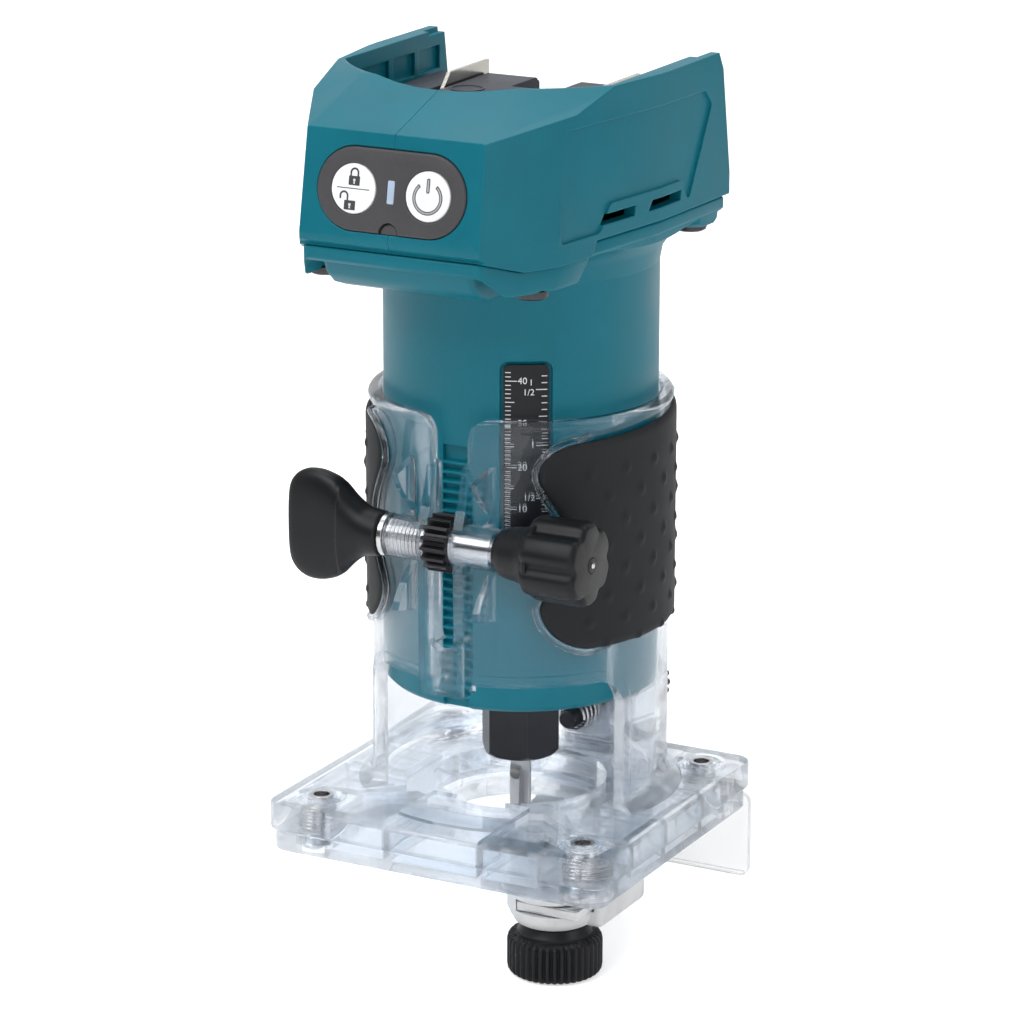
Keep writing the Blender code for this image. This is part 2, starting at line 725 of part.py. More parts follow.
def motor_shell():
    """The round motor body, and the flare that carries it out to the flange."""
    body = turned(
        [(0, MOTOR_LOW_Z), (31.4, MOTOR_LOW_Z), (MOTOR_R, MOTOR_LOW_Z + 1.1),
         (MOTOR_R, 146.0), (30.4, SEAM_Z - 0.6), (0, SEAM_Z - 0.6)], LARGE)
    flare = turned(
        [(0, 141.2), (MOTOR_R + 0.05, 141.2), (33.2, 144.6), (35.2, 147.6), (39.0, 149.6),
         (44.0, FLANGE_LOW_Z + 0.6), (44.0, SEAM_Z - 0.4), (0, SEAM_Z - 0.4)], LARGE)
    keep(flare, prism(mirrored(head_half_outline(1.4, -61.0, 28.0)), 0, 200))
    return join(body, flare)


def flange_outline(more=0.0):
    return mirrored(head_half_outline(0.9 - more, -62.2 - more, 29.5 + more))


def flange():
    """The plate under the head, with a boss for each corner screw."""
    plate = bevelled(prism(flange_outline(), FLANGE_LOW_Z, SEAM_Z), 0.8, 1)
    for x, y in HEAD_SCREWS:
        lobe = turned(
            [(0, 147.9), (5.4, 147.9), (6.4, 148.8), (7.2, SEAM_Z - 1), (0, SEAM_Z - 1)], SMALL)
        join(plate, keep(shift(lobe, x, y), prism(flange_outline(-0.3), 140, SEAM_Z)))
    return plate


def motor_housing(parent):
    body = motor_shell()
    join(body, flange())
    channel = box((-SPLIT_HALF_X, -40, MOTOR_LOW_Z - 1),
                  (SPLIT_HALF_X, RACK_PITCH_Y + 1.2 * TOOTH_MODULE, RACK_TOP_Z + 0.6))
    start, end = SCALE_ANGLES
    recess = sector(31.3, 40, start - 1.6, end + 1.6, SCALE_LOW_Z - 1.0, SCALE_TOP_Z + 1.2, 8)
    cut(body, channel, recess)
    join(body, rack())
    inside = turned(
        [(0, 44.6), (11.1, 44.6), (11.1, 52.0), (13.2, 52.0), (13.2, 47.0), (28.8, 47.0),
         (28.8, SEAM_Z + 1), (0, SEAM_Z + 1)], 24)
    nose = cylinder(9.0, MOTOR_LOW_Z - 1, 46, MEDIUM)
    holes = [shift(cylinder(2.1, 140, 160, 12), x, y) for x, y in HEAD_SCREWS]
    counterbores = [shift(cylinder(4.2, 140, 148.6), x, y) for x, y in HEAD_SCREWS]
    cut(body, inside, nose)
    cut(body, *holes, *counterbores)
    return place(body, "motor_housing", "teal_plastic", (0, 0, 0), parent)


def scale_plate(parent):
    start, end = SCALE_ANGLES
    body = sector(31.6, 32.2, start, end, SCALE_LOW_Z, SCALE_TOP_Z, 8)
    return place(body, "scale_plate", "scale_black", (0, 0, 0), parent)


def bearing(parent, name, bore, outer, low, high):
    body = tube(bore, outer, low, high)
    return place(body, name, "bright_steel", (0, 0, 0), parent)


def stator(parent):
    body = tube(21.0, 28.2, 74, 106, 24)
    for i in range(6):
        pole = prism(rounded_rectangle((15.6, -3.4), (22.0, 3.4), 0.8, 1), 76, 104)
        shoe = sector(15.6, 17.6, -20, 20, 76.4, 103.6, 2)
        moved(shoe, Matrix.Rotation(pi / 2, 4, "Z"))
        join(pole, shoe)
        join(body, moved(pole, Matrix.Rotation(pi * i / 3, 4, "Z")))
    return place(body, "stator", "dark_steel", (0, 0, 0), parent)


def windings(parent):
    """The copper coils' lower end ring, resting against the stator."""
    body = turned([(16.2, 67.5), (27.2, 67.5), (27.2, 73.0), (25.5, 73.7), (18.0, 73.7),
                   (16.2, 73.0)])
    return place(body, "stator_winding", "copper_winding", (0, 0, 0), parent)


def bearing_bracket(parent):
    """The spider that carries the upper bearing above the stator."""
    body = tube(9.7, 13.0, 110.5, 119.0)
    join(body, tube(26.2, 28.2, 108.0, 116.0, 24))
    for i in range(3):
        arm = box((11.5, -3.0, 110.5), (27.0, 3.0, 114.5))
        join(body, moved(arm, Matrix.Rotation(2 * pi * i / 3 + pi / 2, 4, "Z")))
    return place(body, "bearing_bracket", "cast_aluminium", (0, 0, 0), parent)


def rotor(parent):
    body = tube(SPINDLE_R + 0.1, 15.0, 75, 105)
    return place(body, "rotor", "dark_steel", (0, 0, 0), parent)


def cooling_fan(parent):
    hub = tube(SPINDLE_R + 0.1, 8.0, 54.0, 64.0)
    join(hub, tube(6.0, 26.5, 62.4, 63.8, 36))
    for i in range(FAN_BLADES):
        blade = prism([(7.0, -0.7), (25.6, -4.6), (26.0, -3.0), (7.0, 0.9)], 55.0, 63.0)
        join(hub, moved(blade, Matrix.Rotation(2 * pi * i / FAN_BLADES, 4, "Z")))
    return place(hub, "cooling_fan", "black_plastic", (0, 0, 0), parent)


def spindle(parent):
    """The motor shaft, opening below into the tapered nose that takes the collet."""
    profile = [
        (0, 32.6), (3.5, 31.6), (4.9, 21.1), (6.2, 21.1), (6.2, 34.6), (7.6, 35.2), (7.6, 44.0),
        (5.6, 44.0), (5.6, 45.0), (SPINDLE_R, 45.0), (SPINDLE_R, 121.0), (0, 121.0)]
    return place(turned(profile), "spindle", "bright_steel", (0, 0, 0), parent)


def collet_cone(parent):
    body = turned([(2.68, 21.2), (4.72, 21.2), (3.5, 30.6), (2.68, 30.6)])
    cut(body, box((0, -0.35, 15), (8, 0.35, 40)))
    return place(body, "collet_cone", "bright_steel", (0, 0, 0), parent)


def collet_nut(parent):
    """The hexagonal collet nut, its upper and lower corners turned off."""
    across = 17.0
    tip = across / sqrt(3)
    blank = prism([(tip * cos(radians(60 * i + 8 - 90 + 30)), tip * sin(radians(60 * i - 52)))
                   for i in range(6)], NUT_LOW_Z, NUT_TOP_Z)
    round_off = turned(
        [(0, NUT_LOW_Z), (8.7, NUT_LOW_Z), (tip + 0.2, NUT_LOW_Z + 1.4),
         (tip + 0.2, NUT_TOP_Z - 1.4), (8.7, NUT_TOP_Z), (0, NUT_TOP_Z)], 36)
    keep(blank, round_off)
    cut(blank, turned([(0, 12), (3.4, 12), (3.4, 20.8), (6.35, 20.8), (6.35, 40), (0, 40)]))
    return place(blank, "collet_nut", "black_oxide", (0, 0, 0), parent)


def router_bit(parent):
    """A straight cutter on a plain shank, with a single flute."""
    body = cylinder(2.6, 0.0, 31.6)
    flute = prism([(0.35, -0.3), (4, -0.3), (4, -4), (1.2, -4)], -1, 17.0)
    cut(body, flute)
    return place(body, "router_bit", "cutter_steel", (0, 0, 0), parent)


# ---------------------------------------------------------------- head


def panel_frame():
    """The leaning front panel: local X is along it, Y up it and Z out of it."""
    up = (PANEL_HIGH - PANEL_LOW).normalized()
    share = (PANEL_CENTRE_Z - PANEL_LOW.z) / (PANEL_HIGH.z - PANEL_LOW.z)
    centre = PANEL_LOW.lerp(PANEL_HIGH, share)
    across = Vector((1, 0, 0))
    out = across.cross(up)
    frame = Matrix((across, up, out)).transposed().to_4x4()
    return Matrix.Translation(centre) @ frame


def stadium(half_x, half_y, steps=10):
    reach = half_x - half_y
    return arc((reach, 0), half_y, -90, 90, steps) + arc((-reach, 0), half_y, 90, 270, steps)


def below_plane(points):
    """A big wedge in front of or above a line of (y, z) points, to cut the head with."""
    return side_plate(points, -80, 80)


def solid_between(low_ring, high_ring):
    """A closed block skinned between two rings of four points."""
    bm = bmesh.new()
    low = [bm.verts.new(point) for point in low_ring]
    high = [bm.verts.new(point) for point in high_ring]
    for i in range(4):
        bm.faces.new((low[i - 1], low[i], high[i], high[i - 1]))
    bm.faces.new(low)
    bm.faces.new(high)
    return object_of(bm)


def corner_leans(side):
    """Cutters that make the corner's two facets lean inwards with height."""
    cutters = []
    for start, end in zip(CORNER_FOOT, CORNER_FOOT[1:]):
        a, b = Vector(start), Vector(end)
        along = (b - a).normalized()
        out = Vector((along.y, -along.x))
        rings = []
        for level in (LEAN_FROM_Z - 7, RAIL_TOP_Z + 7):
            inward = (level - LEAN_FROM_Z) * CORNER_LEAN
            low, high = a - along * 6 - out * inward, b + along * 9 - out * inward
            rings.append([(side * p.x, p.y, level)
                          for p in (low, high, high + out * 20, low + out * 20)])
        cutters.append(solid_between(*rings))
    return cutters


def head_block():
    """The head's outer form before it is hollowed."""
    block = prism(mirrored(head_half_outline()), HEAD_LOW_Z, RAIL_TOP_Z)
    lean = (PANEL_HIGH.y - PANEL_LOW.y) / (PANEL_HIGH.z - PANEL_LOW.z)
    top_y = PANEL_HIGH.y + lean * 20
    front = below_plane([(PANEL_LOW.y + 2.4, HEAD_LOW_Z - 1), (PANEL_LOW.y - 0.2, 157.4),
                         (top_y, 198.0), (-90, 198.0), (-90, HEAD_LOW_Z - 1)])
    fall = (BAY_RIM_Z - RIDGE_Z) / (BAY_RIM_Y - RIDGE_Y)
    slope = below_plane([(RIDGE_Y - 20, RIDGE_Z - 20 * fall), (-36.0, BAY_RIM_Z + 4 * fall),
                         (-36.0, 210), (RIDGE_Y - 20, 210)])
    rear = below_plane([(30.2, HEAD_LOW_Z - 1), (30.2, 158), (25.2, 190), (60, 190),
                        (60, HEAD_LOW_Z - 1)])
    cut(block, front)
    cut(block, slope)
    cut(block, rear)
    for side in (-1, 1):
        cut(block, upright([(side * 40.4, RIDGE_Z - 0.8), (side * 38.0, 190),
                            (side * 60, 190), (side * 60, RIDGE_Z - 0.8)], -80, 60))
        cut(block, *corner_leans(side))
    return bevelled(block, 0.9, 2, 14)


def bay_cutter():
    """The battery bay: open to the rear, with a bowed front wall."""
    front = arc((0, 1.9), 41.9, 180 + 34.8, 360 - 34.8, 14)
    outline = front + [(BAY_HALF_X, 60.0), (-BAY_HALF_X, 60.0)]
    return prism(outline, BAY_FLOOR_Z, 200)


def head_cavity():
    lower = prism(mirrored(head_half_outline(HEAD_WALL + 0.4, -59.6, 27.0)),
                  HEAD_LOW_Z - 5, BAY_FLOOR_Z - HEAD_WALL)
    nose = prism([(-18, -57.6), (18, -57.6), (24.0, -50.6), (27.4, -43.5), (-27.4, -43.5),
                  (-24.0, -50.6)], 160, 176.4)
    join(lower, nose)
    return lower


def side_vents(side):
    """Two slots low on the side wall with slanted ends."""
    shapes = []
    for start, end in ((-27.5, -14.8), (-9.3, 5.2)):
        outline = [(start, 157.0), (end, 157.0), (end + 0.5, 159.4), (start + 1.6, 159.4)]
        low, high = sorted((side * 30.0, side * 45.0))
        shapes.append(side_plate(outline, low, high))
    return shapes


def rail_pockets(side):
    """Three shallow recesses along the inner face of a battery rail."""
    shapes = []
    for start, end in ((-21.0, -1.5), (0.5, 11.0), (13.0, 23.2)):
        low, high = sorted((side * (BAY_HALF_X - 1), side * (BAY_HALF_X + 1.0)))
        shapes.append(box((low, start, 178.6), (high, end, 184.2)))
    return shapes


def head_shells(parent):
    frame = panel_frame()
    block = head_block()
    cut(block, bay_cutter())
    cut(block, head_cavity())
    opening = moved(prism(stadium(BEZEL_HALF[0] + GAP, BEZEL_HALF[1] + GAP), -9, 6), frame)
    cut(block, opening)
    details = []
    for side in (-1, 1):
        details += side_vents(side) + rail_pockets(side)
    cut(block, *details)
    for x, y in HEAD_SCREWS:
        post = shift(cylinder(4.4, HEAD_LOW_Z + 0.4, 169.6 if y > 0 else 166.5), x, y)
        cut(post, shift(cylinder(1.7, HEAD_LOW_Z - 5, 163.0), x, y))
        join(block, keep(post, prism(mirrored(head_half_outline(1.0, -66.0, 28.6)), 100, 200)))
    shells = []
    for side, name in ((-1, "head_shell_left"), (1, "head_shell_right")):
        half = block.copy()
        half.data = block.data.copy()
        bpy.context.scene.collection.objects.link(half)
        low, high = sorted((side * GAP / 2, side * 90))
        keep(half, box((low, -90, 100), (high, 90, 220)))
        shells.append(place(half, name, "teal_plastic", (0, 0, 0), parent))
    bpy.data.objects.remove(block, do_unlink=True)
    return shells


def head_screw(index, x, y, parent):
    body = turned([(0, 146.9), (3.4, 146.9), (3.85, 147.4), (3.85, 148.3), (1.5, 148.4),
                   (1.5, 162.0), (0, 162.0)], SMALL)
    cut(body, cylinder(1.5, 140, 147.9, 6))
    shift(body, x, y)
    return place(body, f"head_screw_{index}", "dark_steel", (x, y, 148), parent)


def switch_bezel(parent):
    frame = panel_frame()
    body = prism(stadium(*BEZEL_HALF), -3.2, 0.2)
    bevelled(body, 0.5, 1, 60)
    notch = shift(cylinder(2.6, -8, 4), 0, -BEZEL_HALF[1])
    holes = [shift(cylinder(BUTTON_R + GAP, -8, 4), x, 0) for x in (-BUTTON_X, BUTTON_X)]
    window = prism(rounded_rectangle((-1.1, -3.0), (1.1, 3.0), 0.4, 2), -8, 4)
    cut(body, notch, window, *holes)
    moved(body, frame)
    return place(body, "switch_bezel", "panel_grey", frame.translation, parent)


def push_button(name, x, parent):
    """A round push button whose stem reaches the switch board."""
    frame = panel_frame()
    body = turned([(0, -4.4), (1.8, -4.4), (1.8, -2.4), (BUTTON_R, -2.4), (BUTTON_R, 0.1),
                   (BUTTON_R - 0.3, 0.4), (0, 0.4)], 28)
    moved(body, frame @ Matrix.Translation((x, 0, 0)))
    return place(body, name, "button_white", frame @ Vector((x, 0, 0)), parent)


def led_window(parent):
    frame = panel_frame()
    body = moved(prism(rounded_rectangle((-0.95, -2.8), (0.95, 2.8), 0.35, 2), -3.0, 0.15), frame)
    return place(body, "led_window", "window_blue", frame.translation, parent)


def switch_board(parent):
    frame = panel_frame()
    body = moved(prism(rounded_rectangle((-17, -7.6), (17, 7.6), 1.5, 2), -7.6, -6.0), frame)
    return place(body, "switch_board", "green_board", frame.translation, parent)


def controller(parent):
    body = box((-26, -40, 157.0), (26, 21, 158.6))
    join(body, box((-22, -34, 158.0), (22, 15, 164.0)))
    return place(body, "controller", "green_board", (0, 0, 0), parent)


def terminal_block(parent):
    """The battery contact block on the bay floor, stepped at the front."""
    front = arc((0, 1.9), 39.2, 180 + 44, 360 - 44, 10)
    outline = front + [(33.6, 3.0), (33.6, 20.0), (-33.6, 20.0), (-33.6, 3.0)]
    body = prism(outline, BAY_FLOOR_Z + GAP, 174.6)
    join(body, box((-32.6, -19.0, 173.0), (32.6, 19.4, 178.2)))
    join(body, box((-26.5, -23.0, 173.5), (26.5, 19.0, 179.2)))
    slots = [box((x - 1.2, -6, 173.6), (x + 1.2, 24, 182)) for x in (-20.0, 20.0)]
    slots.append(box((-6, -2, 174.6), (6, 24, 182)))
    cut(body, *slots)
    return place(body, "terminal_block", "terminal_grey", (0, 0, 0), parent)


def terminal_blade(name, x, parent):
    outline = [(-2.5, 173.9), (20.6, 173.9), (20.6, 182.4), (1.5, 182.4), (-2.5, 178.4)]
    body = side_plate(outline, x - 0.45, x + 0.45)
    return place(body, name, "nickel_contact", (0, 0, 0), parent)


# ---------------------------------------------------------------- edge guide


def guide_clamp(parent):
    """The screw, its spring and its knurled knob at the back of the base."""
    axis = (0, ARM_Y + ARM_THICK, CLAMP_AXIS_Z)
    screw = turned([(0, 24.4), (2.0, 24.4), (2.5, 24.9), (2.5, 66.0), (0, 66.0)])
    along_y(screw, 0, 0, CLAMP_AXIS_Z)
    knob = knurled(9.7, 0.7, 18, ARM_Y + ARM_THICK + 2.2, 64.5)
    join(knob, turned([(0, ARM_Y + ARM_THICK + GAP), (6.2, ARM_Y + ARM_THICK + GAP),
                       (6.2, 54), (0, 54)]))
    cut(knob, cylinder(2.6, 40, 70, MEDIUM))
    along_y(knob, 0, 0, CLAMP_AXIS_Z)
    place(screw, "guide_clamp_screw", "black_oxide", axis, parent)
    place(knob, "guide_clamp_knob", "black_plastic", axis, parent)


def knurled(radius, depth, ribs, low, high):
    """A knob body with straight ribs and chamfered ends."""
    outline = []
    for i in range(ribs):
        for offset, r in ((0.0, radius), (0.5, radius), (0.75, radius - depth)):
            angle = 2 * pi * (i + offset) / ribs
            outline.append((r * cos(angle), r * sin(angle)))
    ends = 1 - 1.3 / radius
    return lofted(outline, [(ends, low), (1, low + 1.3), (1, high - 1.3), (ends, high)])


def clamp_spring():
    """A coil round the clamp screw, wound from a square wire."""
    turns, around, wire = 4, 10, 0.35
    radius, start, end = 3.6, 27.0, 37.0
    bm = bmesh.new()
    rings = []
    for i in range(turns * around + 1):
        angle = 2 * pi * i / around
        y = start + (end - start) * i / (turns * around)
        ring = []
        for dr, dy in ((-wire, -wire), (wire, -wire), (wire, wire), (-wire, wire)):
            r = radius + dr
            ring.append(bm.verts.new((r * cos(angle), y + dy, CLAMP_AXIS_Z + r * sin(angle))))
        rings.append(ring)
    for a, b in zip(rings, rings[1:]):
        for i in range(4):
            bm.faces.new((a[i - 1], a[i], b[i], b[i - 1]))
    bm.faces.new(rings[0])
    bm.faces.new(rings[-1])
    return place(object_of(bm), "clamp_spring", "bright_steel", (0, start, CLAMP_AXIS_Z))


def guide_arm(parent):
    """The pressed steel arm: slotted upright behind the base, then a strip beneath it."""
    body = upright(rounded_rectangle((-9, -14.0), (12, 30), 2.0, 2), ARM_Y, ARM_Y + ARM_THICK)
    strip = prism(
        [(19, -38), (35, -38), (35, 2), (12, ARM_Y + 1), (-8, ARM_Y + 1), (19, 0)],
        STRIP_TOP_Z - ARM_THICK, STRIP_TOP_Z)
    join(body, strip)
    slot = upright(rounded_rectangle((-2.9, CLAMP_AXIS_Z - 3.0), (2.9, 36), 2.8, 3), 40, 55)
    stud_slot = prism(rounded_rectangle((21.6, -36.2), (27.4, -17.8), 2.8, 3), -10, 0)
    holes = [upright_hole(x) for x in SHIELD_SCREWS_X]
    cut(body, slot, stud_slot, shift(cylinder(1.8, -10, 0), *BRACKET_SCREW), *holes)
    return place(body, "guide_arm", "bright_steel", (0, ARM_Y, 0), parent)


def upright_hole(x):
    return along_y(cylinder(1.7, 40, 55), x, 0, SHIELD_SCREW_Z)


def guide_bracket(parent):
    """The aluminium web on the strip's rear end, with a tongue towards the cutter."""
    outline = [(-5.0, 13.6), (-1.5, 16.5), (4.0, 22.0), (14.0, 27.0), (12.0, 45.8),
               (-9.0, 45.8), (-9.0, 34.0), (-7.0, 25.0)]
    body = prism(outline, STRIP_TOP_Z + GAP, -0.6)
    cut(body, shift(cylinder(1.7, -10, 0), *BRACKET_SCREW))
    return place(body, "guide_bracket", "cast_aluminium", (0, ARM_Y, 0), parent)


def bracket_screw(parent):
    body = turned([(0, -8.6), (3.2, -8.6), (3.4, -8.2), (3.4, -6.8), (1.4, -6.8), (1.4, -1.0),
                   (0, -1.0)], SMALL)
    shift(body, *BRACKET_SCREW)
    return place(body, "bracket_screw", "bright_steel", (*BRACKET_SCREW, -7), parent)


def chip_shield(parent):
    """The clear upright plate behind the cutter, notched for the arm."""
    body = upright(rounded_rectangle((-40.6, -22.4), (40.6, -0.6), 2.5, 3),
                   ARM_Y - GAP - 2.0, ARM_Y - GAP)
    notch = upright([(-9.4, -6.9), (14.4, -6.9), (14.4, 2), (-9.4, 2)], 40, 50)
    cut(body, notch, *[upright_hole(x) for x in SHIELD_SCREWS_X])
    return place(body, "chip_shield", "clear_shield", (0, ARM_Y, 0), parent)


def shield_screw(index, x, parent):
    front = ARM_Y - GAP - 2.0
    body = turned([(0, front - 1.9), (2.2, front - 1.9), (3.0, front - 1.2), (3.0, front - 0.1),
                   (1.4, front - 0.1), (1.4, ARM_Y + ARM_THICK), (0, ARM_Y + ARM_THICK)], SMALL)
    along_y(body, x, 0, SHIELD_SCREW_Z)
    return place(body, f"shield_screw_{index}", "bright_steel", (x, front, SHIELD_SCREW_Z), parent)


def holder_cutters():
    """The strip's slot and the holes for the clamp stud and the roller screw."""
    slot = box((19 - GAP, -60, STRIP_TOP_Z - ARM_THICK - GAP), (35 + GAP, 20, STRIP_TOP_Z + GAP))
    stud = shift(cylinder(2.5 + RUNNING + 0.1, -20, 2), *GUIDE_KNOB)
    axle = shift(cylinder(1.7, -20, 2), *ROLLER)
    seat = shift(cylinder(6.1, -3.4, 2, MEDIUM), *ROLLER)
    return slot, stud, axle, seat


def guide_holder(parent):
    """The cast aluminium slider that the strip passes through."""
    block = bevelled(box((11.7, -30.0, HOLDER_LOW_Z), (37.4, -6.5, -0.6)), 1.2, 1, 60)
    boss = shift(turned([(0, HOLDER_LOW_Z), (9.2, HOLDER_LOW_Z), (10.6, -8.6), (10.9, -0.6),
                         (0, -0.6)]), 24.0, -28.5)
    toe = shift(turned([(0, HOLDER_LOW_Z), (6.4, HOLDER_LOW_Z), (7.0, -9.8), (7.4, -0.6),
                        (0, -0.6)]), *ROLLER)
    join(block, boss)
    join(block, toe)
    cut(block, *holder_cutters())
    return place(block, "guide_holder", "cast_aluminium", (0, 0, 0), parent)


def guide_knob(parent):
    """The knurled clamp knob that hangs under the holder, and its stud."""
    body = knurled(11.3, 0.8, 20, -23.4, -13.6)
    collar = turned([(0, -14.6), (8.6, -14.6), (8.6, -12.4), (7.9, HOLDER_LOW_Z - GAP),
                     (0, HOLDER_LOW_Z - GAP)])
    join(body, collar)
    cut(body, cylinder(2.5 + 0.1, -20, -5))
    shift(body, *GUIDE_KNOB)
    stud = shift(turned([(0, -19.6), (2.5, -19.6), (2.5, -1.6), (0, -1.6)]), *GUIDE_KNOB)
    centre = (*GUIDE_KNOB, -12.0)
    place(body, "guide_knob", "black_plastic", centre, parent)
    place(stud, "guide_stud", "dark_steel", centre, parent)


def guide_roller(parent):
    body = turned([(1.6, -16.4), (5.4, -16.4), (6.0, -15.8), (6.0, -12.0), (5.4, -11.4),
                   (1.6, -11.4)])
    shift(body, *ROLLER)
    return place(body, "guide_roller", "bright_steel", (*ROLLER, -14.0), parent)


def roller_screw(parent):
    """The roller's axle: a domed head on top and a flat head below."""
    body = turned([(0, -18.2), (3.0, -18.2), (3.0, -16.8), (1.4, -16.8), (1.4, -3.1),
                   (5.8, -3.1), (5.3, -1.8), (3.4, -0.9), (0, -0.6)])
    shift(body, *ROLLER)
    return place(body, "roller_screw", "bright_steel", (*ROLLER, 0), parent)


# ---------------------------------------------------------------- assembly


def build_base():
    base()
    base_protector()
    for index, (x, y) in enumerate(BASE_SCREWS, 1):
        base_screw(index, x, y)
        base_insert(index, x, y)
    grip(-1, "grip_left")
    grip(1, "grip_right")
    clamp_spring()


def build_adjustment():
    axis = axis_empty("adjust_axis", (0, SHAFT_Y, SHAFT_Z))
    adjust_pinion(axis)
    adjust_shaft(axis)
    adjust_knob(axis)
    knob_screw(axis)
    clamp_washer(axis)
    clamp_wing_knob()


def build_motor_unit():
    unit = axis_empty("motor_unit", (0, 0, 0))
    motor_housing(unit)
    scale_plate(unit)
    stator(unit)
    windings(unit)
    bearing_bracket(unit)
    bearing(unit, "lower_bearing", SPINDLE_R + RUNNING, 10.9, 45.3, 52.0)
    bearing(unit, "upper_bearing", SPINDLE_R + RUNNING, 9.6, 111.0, 118.0)
    head_shells(unit)
    for index, (x, y) in enumerate(HEAD_SCREWS, 1):
        head_screw(index, x, y, unit)
    switch_bezel(unit)
    push_button("lock_button", -BUTTON_X, unit)
    push_button("power_button", BUTTON_X, unit)
    led_window(unit)
    switch_board(unit)
    controller(unit)
    terminal_block(unit)
    terminal_blade("terminal_blade_left", -20.0, unit)
    terminal_blade("terminal_blade_right", 20.0, unit)
    build_spindle(unit)


def build_spindle(unit):
    axis = axis_empty("spindle_axis", (0, 0, 0), unit)
    spindle(axis)
    rotor(axis)
    cooling_fan(axis)
    collet_cone(axis)
    router_bit(axis)
    collet_nut(axis)


def build_edge_guide():
    guide = axis_empty("edge_guide", (0, 0, 0))
    guide_clamp(guide)
    guide_arm(guide)
    guide_bracket(guide)
    bracket_screw(guide)
    chip_shield(guide)
    for index, x in enumerate(SHIELD_SCREWS_X, 1):
        shield_screw(index, x, guide)
    slider = axis_empty("guide_slider", (0, 0, 0), guide)
    guide_holder(slider)
    guide_knob(slider)
    guide_roller(slider)
    roller_screw(slider)


clear_scene()
build_base()
build_adjustment()
build_motor_unit()
build_edge_guide()
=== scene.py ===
"""The looks of the trim router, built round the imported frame.

Shapes are made in millimetres, in the frame's own axes, and piece() turns them into metres.
"""

import json  # noqa: E402
from math import cos, pi, radians, sin, sqrt  # noqa: E402

import bmesh  # noqa: E402
import bpy  # noqa: E402
from mathutils import Matrix, Quaternion, Vector  # noqa: E402

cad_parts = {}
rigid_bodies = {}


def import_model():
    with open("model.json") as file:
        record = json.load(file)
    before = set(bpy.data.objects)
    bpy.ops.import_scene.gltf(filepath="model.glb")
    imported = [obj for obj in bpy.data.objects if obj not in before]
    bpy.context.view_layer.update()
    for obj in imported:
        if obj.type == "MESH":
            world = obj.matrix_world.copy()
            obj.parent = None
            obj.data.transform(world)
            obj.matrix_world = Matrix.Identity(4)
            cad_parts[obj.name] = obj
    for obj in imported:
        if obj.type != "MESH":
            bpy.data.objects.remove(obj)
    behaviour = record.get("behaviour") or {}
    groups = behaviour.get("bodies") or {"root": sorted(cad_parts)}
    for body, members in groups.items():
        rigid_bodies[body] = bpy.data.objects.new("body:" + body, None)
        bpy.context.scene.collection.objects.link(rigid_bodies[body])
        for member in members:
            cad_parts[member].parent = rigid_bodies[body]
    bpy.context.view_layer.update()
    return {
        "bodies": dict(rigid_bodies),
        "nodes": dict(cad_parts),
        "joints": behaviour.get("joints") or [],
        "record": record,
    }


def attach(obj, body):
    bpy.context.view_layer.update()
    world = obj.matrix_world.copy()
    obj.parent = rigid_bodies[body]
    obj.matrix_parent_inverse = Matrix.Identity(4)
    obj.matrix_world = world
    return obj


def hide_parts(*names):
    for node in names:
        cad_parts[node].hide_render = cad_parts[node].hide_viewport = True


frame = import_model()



# ---------------------------------------------------------------- sizes in millimetres

MM = 0.001
GAP = 0.3  # clearance between neighbouring pieces
RUNNING = 0.08  # clearance between a shaft and its bore

# Sides of a round shape
LARGE = 120
MEDIUM = 64
SMALL = 32

# Base plate and sleeve
BASE_HALF_X = 45.0
BASE_FRONT_Y = -46.0
BASE_REAR_Y = 38.0
BASE_CORNER_R = 4.5
PROTECTOR_TOP_Z = 5.0
PLATE_LOW_Z = PROTECTOR_TOP_Z + GAP
PLATE_TOP_Z = 12.2
PLATE_SKIN = 2.4
CUTTER_HOLE_R = 19.0
PLATE_HOLE_R = 21.0
SLEEVE_INNER_R = 32.9
SLEEVE_OUTER_R = 35.4
SLEEVE_RIM_Z = 109.8
WINDOW_TOP_Z = 46.0
WINDOW_HALF_ANGLE = 58.5
WINDOW_TURN = 11.5  # degrees the opening is turned towards the right leg
SPLIT_HALF_X = 3.4
GRIP_LOW_Z = 54.6
GRIP_TOP_Z = 104.4
GRIP_START = 34.6  # degrees from the front
GRIP_END = 134.0
BASE_SCREWS = [(-35.0, -35.5), (35.0, -35.5), (-35.0, 28.4), (35.0, 28.4)]

# Depth adjustment
TOOTH_MODULE = 0.75
PINION_TEETH = 16
RACK_PITCH_Y = -31.6
SHAFT_Y = RACK_PITCH_Y - TOOTH_MODULE * PINION_TEETH / 2 - 0.1
SHAFT_Z = 80.6
SHAFT_R = 3.0
EAR_OUTER_X = 13.8

# Motor unit
MOTOR_R = 32.5
MOTOR_LOW_Z = 38.8
SEAM_Z = 153.9
FLANGE_LOW_Z = 150.0
RACK_TOP_Z = 102.0
SCALE_ANGLES = (20.6, 39.0)
SCALE_TOP_Z = 122.6
SCALE_LOW_Z = 73.5
NUT_LOW_Z = 18.4
NUT_TOP_Z = 34.2

